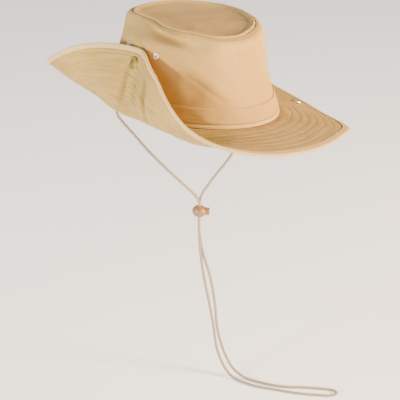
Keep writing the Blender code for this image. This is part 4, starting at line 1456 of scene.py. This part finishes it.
def make_stud(side, point, normal, head_height, material):
    """Stud riveted through the crown's side, its rounded head standing out."""
    base = SNAP_BASE
    seat = STUD_SEAT
    back = -CROWN_CLOTH - STUD_BACK
    disc = STUD_DISC
    post = SNAP_POST / 2
    head = SNAP_HOLLOW - GAP
    # Radius, and height above the crown's outer face
    profile = (
        (base * 0.94, back - disc),
        (base, back - disc * 0.7),
        (base, back),
        (post, back),
        (post, seat),
        (base, seat),
        (base, seat + disc * 0.6),
        (base * 0.92, seat + disc),
        (head * 0.8, seat + disc * 1.05),
        (head * 0.8, head_height - SNAP_SOCKET_HEIGHT * 0.34),
        (head, head_height - SNAP_SOCKET_HEIGHT * 0.20),
        (head, head_height - SNAP_SOCKET_HEIGHT * 0.10),
        (head * 0.86, head_height - SNAP_SOCKET_HEIGHT * 0.02),
        (head * 0.45, head_height),
        (0, head_height),
    )
    stud = lathe("snap_stud_" + side + "_metal", profile, point, normal, material)
    stand_for(stud, "snap_stud_" + side)


def make_fittings(brass, steel):
    """Eyelets, and both snaps."""
    for name, angle, height in EYELETS:
        make_eyelet(name, angle, height, steel)
    make_snap_on_brim("left", SNAP_LEFT_ANGLE, SNAP_LEFT_INSET, brass, steel)
    make_snap_on_brim("right", SNAP_RIGHT_ANGLE, SNAP_RIGHT_INSET, brass, steel)
    point, normal = snap_place(SNAP_LEFT_ANGLE, SNAP_LEFT_INSET)
    share = snap_pull()[1]
    crown = crown_point(SNAP_LEFT_ANGLE, share)
    away = (crown - point).dot(normal)
    head = away - SNAP_SEAT - SNAP_FLOOR - GAP
    make_stud("left", point + normal * away, -normal, head, steel)
    right = crown_point(SNAP_RIGHT_ANGLE, share)
    make_stud("right", right, crown_normal(SNAP_RIGHT_ANGLE, share), head, steel)


# Cord and lock


def cord_line(step):
    """The cord's route as evenly spaced points."""
    route = smooth_line([Vector(point) / 1000 for point in CORD_ROUTE], ROUTE_STEPS)
    gone = [0.0]
    for point, after in zip(route, route[1:]):
        gone.append(gone[-1] + (after - point).length)
    count = round(gone[-1] / step)
    points = []
    index = 0
    for place in range(count + 1):
        distance = gone[-1] * place / count
        while index < len(gone) - 2 and gone[index + 1] < distance:
            index += 1
        part = (distance - gone[index]) / max(1e-9, gone[index + 1] - gone[index])
        points.append(route[index].lerp(route[index + 1], part))
    return points, gone[-1]


def make_cord(material):
    """Round braid of eight strands, from the left tab down through the lock and up to the right tab."""
    points, length = cord_line(CORD_STEP)
    sides = CORD_SIDES
    lean = math.tau / STRAND_LAY
    vertices = []
    painted_shades = []
    ahead = (points[1] - points[0]).normalized()
    across = ahead.orthogonal().normalized()
    for index, point in enumerate(points):
        before = points[max(0, index - 1)]
        after = points[min(len(points) - 1, index + 1)]
        ahead = (after - before).normalized()
        across = (across - ahead * across.dot(ahead)).normalized()
        other = ahead.cross(across)
        for side in range(sides):
            turn = math.tau * side / sides
            column = math.cos(STRAND_PAIRS * turn)
            way = STRAND_PAIRS if column > 0 else -STRAND_PAIRS
            strand = 0.5 + 0.5 * math.cos(turn * way + lean * index * length / (len(points) - 1))
            height = abs(column) ** 0.5 * (STRAND_LEAST + (1 - STRAND_LEAST) * strand)
            radius = CORD_DIAMETER / 2 * (STRAND_LOW + STRAND_RELIEF * height)
            vertices.append(point + (across * math.cos(turn) + other * math.sin(turn)) * radius)
            # Painted shade between the strands, darkest where a strand lies lowest
            painted_shades.append(1 - height)
    faces = []
    for index in range(len(points) - 1):
        for side in range(sides):
            after = (side + 1) % sides
            low = index * sides
            faces.append((low + side, low + after, low + sides + after, low + sides + side))
    faces.append(tuple(range(sides))[::-1])
    faces.append(tuple((len(points) - 1) * sides + side for side in range(sides)))
    mesh = bpy.data.meshes.new("chin_cord_braid")
    mesh.from_pydata(vertices, [], faces)
    mesh.attributes.new("hollow", "FLOAT", "POINT").data.foreach_set("value", painted_shades)
    mesh.materials.append(material)
    mesh.shade_smooth()
    cord = bpy.data.objects.new("chin_cord_braid", mesh)
    bpy.context.collection.objects.link(cord)
    stand_for(cord, "chin_cord")


def strand_cutter(travel):
    """Upright slot for the two strands, with room for the plunger's travel."""
    bpy.ops.object.select_all(action="DESELECT")
    radius = CORD_DIAMETER / 2 + CORD_ROOM
    half_side = math.tau / SLOT_SIDES / 2
    bpy.ops.mesh.primitive_cylinder_add(vertices=SLOT_SIDES, radius=radius, depth=LOCK_HEIGHT * 2,
                                        location=(0, 0, 0), rotation=(0, 0, half_side))
    cutter = bpy.context.object
    bpy.ops.object.transform_apply(location=True, rotation=True, scale=True)
    spread = (CORD_DIAMETER + STRANDS_APART) / 2
    for vertex in cutter.data.vertices:
        vertex.co.y += math.copysign(spread, vertex.co.y)
        vertex.co.x += travel if vertex.co.x > 0 else 0.0
    cutter.location = LOCK_CENTRE
    cutter.rotation_euler = (0, 0, math.radians(LOCK_TURN))
    bpy.ops.object.transform_apply(location=True, rotation=True, scale=True)
    return cutter


def plunger_start():
    """Where the plunger's inner end lies, from the ball's centre along its axis."""
    return -CORD_DIAMETER / 2 - CORD_ROOM - PLUNGER_WALL


def add_lock_cylinder(radius, start, end):
    """Cylinder along the plunger's axis, between two distances from the ball's centre."""
    turn = math.radians(LOCK_TURN)
    middle = Vector((math.cos(turn), math.sin(turn), 0)) * (start + end) / 2
    bpy.ops.object.select_all(action="DESELECT")
    bpy.ops.mesh.primitive_cylinder_add(vertices=LATHE_SIDES, radius=radius, depth=end - start,
                                        location=LOCK_CENTRE + middle,
                                        rotation=(0, math.radians(90), turn))
    return bpy.context.object


def make_lock_ball(material):
    """Wooden ball, turned, and bored for the strands and the plunger."""
    bpy.ops.object.select_all(action="DESELECT")
    bpy.ops.mesh.primitive_uv_sphere_add(segments=BALL_SIDES, ring_count=BALL_RINGS,
                                         radius=LOCK_WIDTH / 2, location=(0, 0, 0))
    ball = bpy.context.object
    ball.name = "cord_lock_ball"
    ball.scale = (1, 1, LOCK_HEIGHT / LOCK_WIDTH)
    ball.location = LOCK_CENTRE
    bpy.ops.object.transform_apply(location=True, rotation=True, scale=True)
    apply_boolean(ball, strand_cutter(0.0))
    floor = plunger_start() - PLUNGER_TRAVEL - GAP
    apply_boolean(ball, add_lock_cylinder(PLUNGER_DIAMETER / 2 + GAP, floor, LOCK_WIDTH))
    bpy.ops.object.select_all(action="DESELECT")
    ball.select_set(True)
    bpy.context.view_layer.objects.active = ball
    bpy.ops.object.shade_smooth_by_angle(angle=math.radians(WOOD_SHARP_ANGLE))
    ball.data.materials.append(material)
    stand_for(ball, "cord_lock_body")
    return ball


def make_plunger(material):
    """Wooden plunger with a rounded end, slotted for the strands."""
    plunger = add_lock_cylinder(PLUNGER_DIAMETER / 2, plunger_start(), PLUNGER_REACH)
    plunger.name = "cord_lock_plunger_wood"
    bpy.ops.object.transform_apply(location=True, rotation=True, scale=True)
    round_edges(plunger, PLUNGER_ROUNDING)
    apply_boolean(plunger, strand_cutter(PLUNGER_TRAVEL))
    bpy.ops.object.shade_smooth_by_angle(angle=math.radians(WOOD_SHARP_ANGLE))
    plunger.data.materials.append(material)
    stand_for(plunger, "cord_lock_plunger", "plunger")
    return plunger


# Camera, light and floor


def camera_axes():
    """Directions ahead, to the right and up in the picture."""
    turn, tilt, roll = (math.radians(value) for value in (CAMERA_TURN, CAMERA_TILT, CAMERA_ROLL))
    ahead = Vector((math.sin(turn) * math.cos(tilt), math.cos(turn) * math.cos(tilt), -math.sin(tilt)))
    level = Vector((math.cos(turn), -math.sin(turn), 0))
    square = level.cross(ahead)
    right = level * math.cos(roll) + square * math.sin(roll)
    up = square * math.cos(roll) - level * math.sin(roll)
    return ahead, right, up


def make_camera():
    """Camera at the photo's viewing angle."""
    ahead, right, up = camera_axes()
    place = -ahead * CAMERA_DISTANCE
    back = (place - right * AIM_RIGHT + up * AIM_DOWN).normalized()
    side = up.cross(back).normalized()
    upright = back.cross(side)
    data = bpy.data.cameras.new("camera")
    data.lens = LENS
    data.sensor_width = SENSOR_WIDTH
    data.shift_y = CAMERA_SHIFT
    camera = bpy.data.objects.new("camera", data)
    turned = Matrix((side, upright, back)).transposed().to_4x4()
    camera.matrix_world = Matrix.Translation(place) @ turned
    bpy.context.collection.objects.link(camera)
    bpy.context.scene.camera = camera


def make_light(name, azimuth, elevation, distance, size, power, tint):
    """Soft box that looks at the hat."""
    turn = math.radians(azimuth)
    tilt = math.radians(elevation)
    way = Vector((math.sin(turn) * math.cos(tilt), -math.cos(turn) * math.cos(tilt), math.sin(tilt)))
    data = bpy.data.lights.new(name, "AREA")
    data.shape = "DISK"
    data.size = size
    data.energy = power
    data.color = colour(tint)[:3]
    light = bpy.data.objects.new(name, data)
    light.location = way * distance
    light.rotation_euler = way.to_track_quat("Z", "Y").to_euler()
    bpy.context.collection.objects.link(light)


def make_studio():
    """Pale floor, a dim cool room, and soft boxes, the strongest from the right and the left."""
    bpy.ops.object.select_all(action="DESELECT")
    bpy.ops.mesh.primitive_plane_add(size=FLOOR_SIZE, location=(0, 0, FLOOR_HEIGHT))
    floor = bpy.context.object
    floor.name = "floor"
    # Matt white floor paint, rolled and lit from all sides: even and nearly shadowless
    material, shader = new_material("matt studio floor paint", "EEF1F6", 0.9)
    shader.inputs["Specular IOR Level"].default_value = 0.1
    shader.inputs["Emission Color"].default_value = colour("FFFFFF")
    shader.inputs["Emission Strength"].default_value = 0.9
    floor.data.materials.append(material)
    world = bpy.data.worlds.new("studio")
    world.use_nodes = True
    background = world.node_tree.nodes["Background"]
    background.inputs["Color"].default_value = colour("DCE8FF")
    background.inputs["Strength"].default_value = 0.20
    bpy.context.scene.world = world
    for light in LIGHTS:
        make_light(*light)


def build():
    """Make every visible piece of the hat."""
    # Cotton twill, woven and washed: matt soft khaki with fine slanting lines, paler where it has worn
    crown_twill = twill("khaki cotton twill, washed", "C4A361", "B79453")
    # Cotton twill, woven and pressed flat: the same khaki, a little browner and smoother to the eye
    tip_twill = twill("khaki cotton twill, pressed", "BEA063", "B19255")
    # Cotton twill, quilted in rows: the crown's khaki made darker as painted shade, with streaks of painted
    # shade from fine puckers between the stitches
    brim_twill = twill("khaki cotton twill, quilted", "B19755", "A48948", pucker_painted_shade=0.45)
    # Bias tape, cut across the weave and folded: a smooth pale edge whose lines run another way
    tape_twill = twill("cotton bias tape, folded", "D0B37F", "C7A76F", turn=45, relief=0.7)
    # Sewing thread, spun and twisted: short raised dashes, paler than the cloth
    seam_thread = thread("cotton sewing thread, twisted", "DFCB9C", "D0B986")
    # Bobbin thread, spun and twisted: flat dashes that hardly differ from the cloth
    under_thread = thread("cotton bobbin thread, twisted", "CDB078", "C2A368")
    make_crown_side(crown_twill)
    make_crown_tip(tip_twill)
    make_band(crown_twill)
    make_welt(tape_twill)
    make_brim(brim_twill)
    make_binding(tape_twill)
    make_cord_tab("cord_tab_left", CORD_END_ANGLE, tape_twill)
    make_cord_tab("cord_tab_right", CORD_END_ANGLE - 180, tape_twill)
    make_stitches(seam_thread, under_thread)
    # Brass, stamped and tumbled: a dull olive-yellow disc with a soft shine along its ring
    brass = metal("brass, tumbled", "A99654", "8C793E", 0.46, BRASS_MARK)
    # Nickel-plated steel, rolled and brushed: small silvery rings with a broad soft highlight
    nickel = metal("nickel-plated steel, brushed", "F4F0E6", "DFD9CC", 0.42, NICKEL_MARK)
    make_fittings(brass, nickel)
    # Beech, turned and varnished: a warm light brown ball with faint rings and a soft gloss
    ball = make_lock_ball(wood("beech, turned and varnished", "866844", "694D2F", (0.5, 0.3, 0)))
    # Beech, turned and stained: the plunger is a shade darker, its grain running another way
    plunger = make_plunger(wood("beech, stained and varnished", "826242", "6B4C2E", (0.2, 1.2, 0)))
    # Cotton cord, braided of eight strands: matt grey-beige, with painted shade in the hollows between the
    # strands
    make_cord(braid("cotton cord, braided", "A79D89", "695F50"))


build()
make_camera()
make_studio()
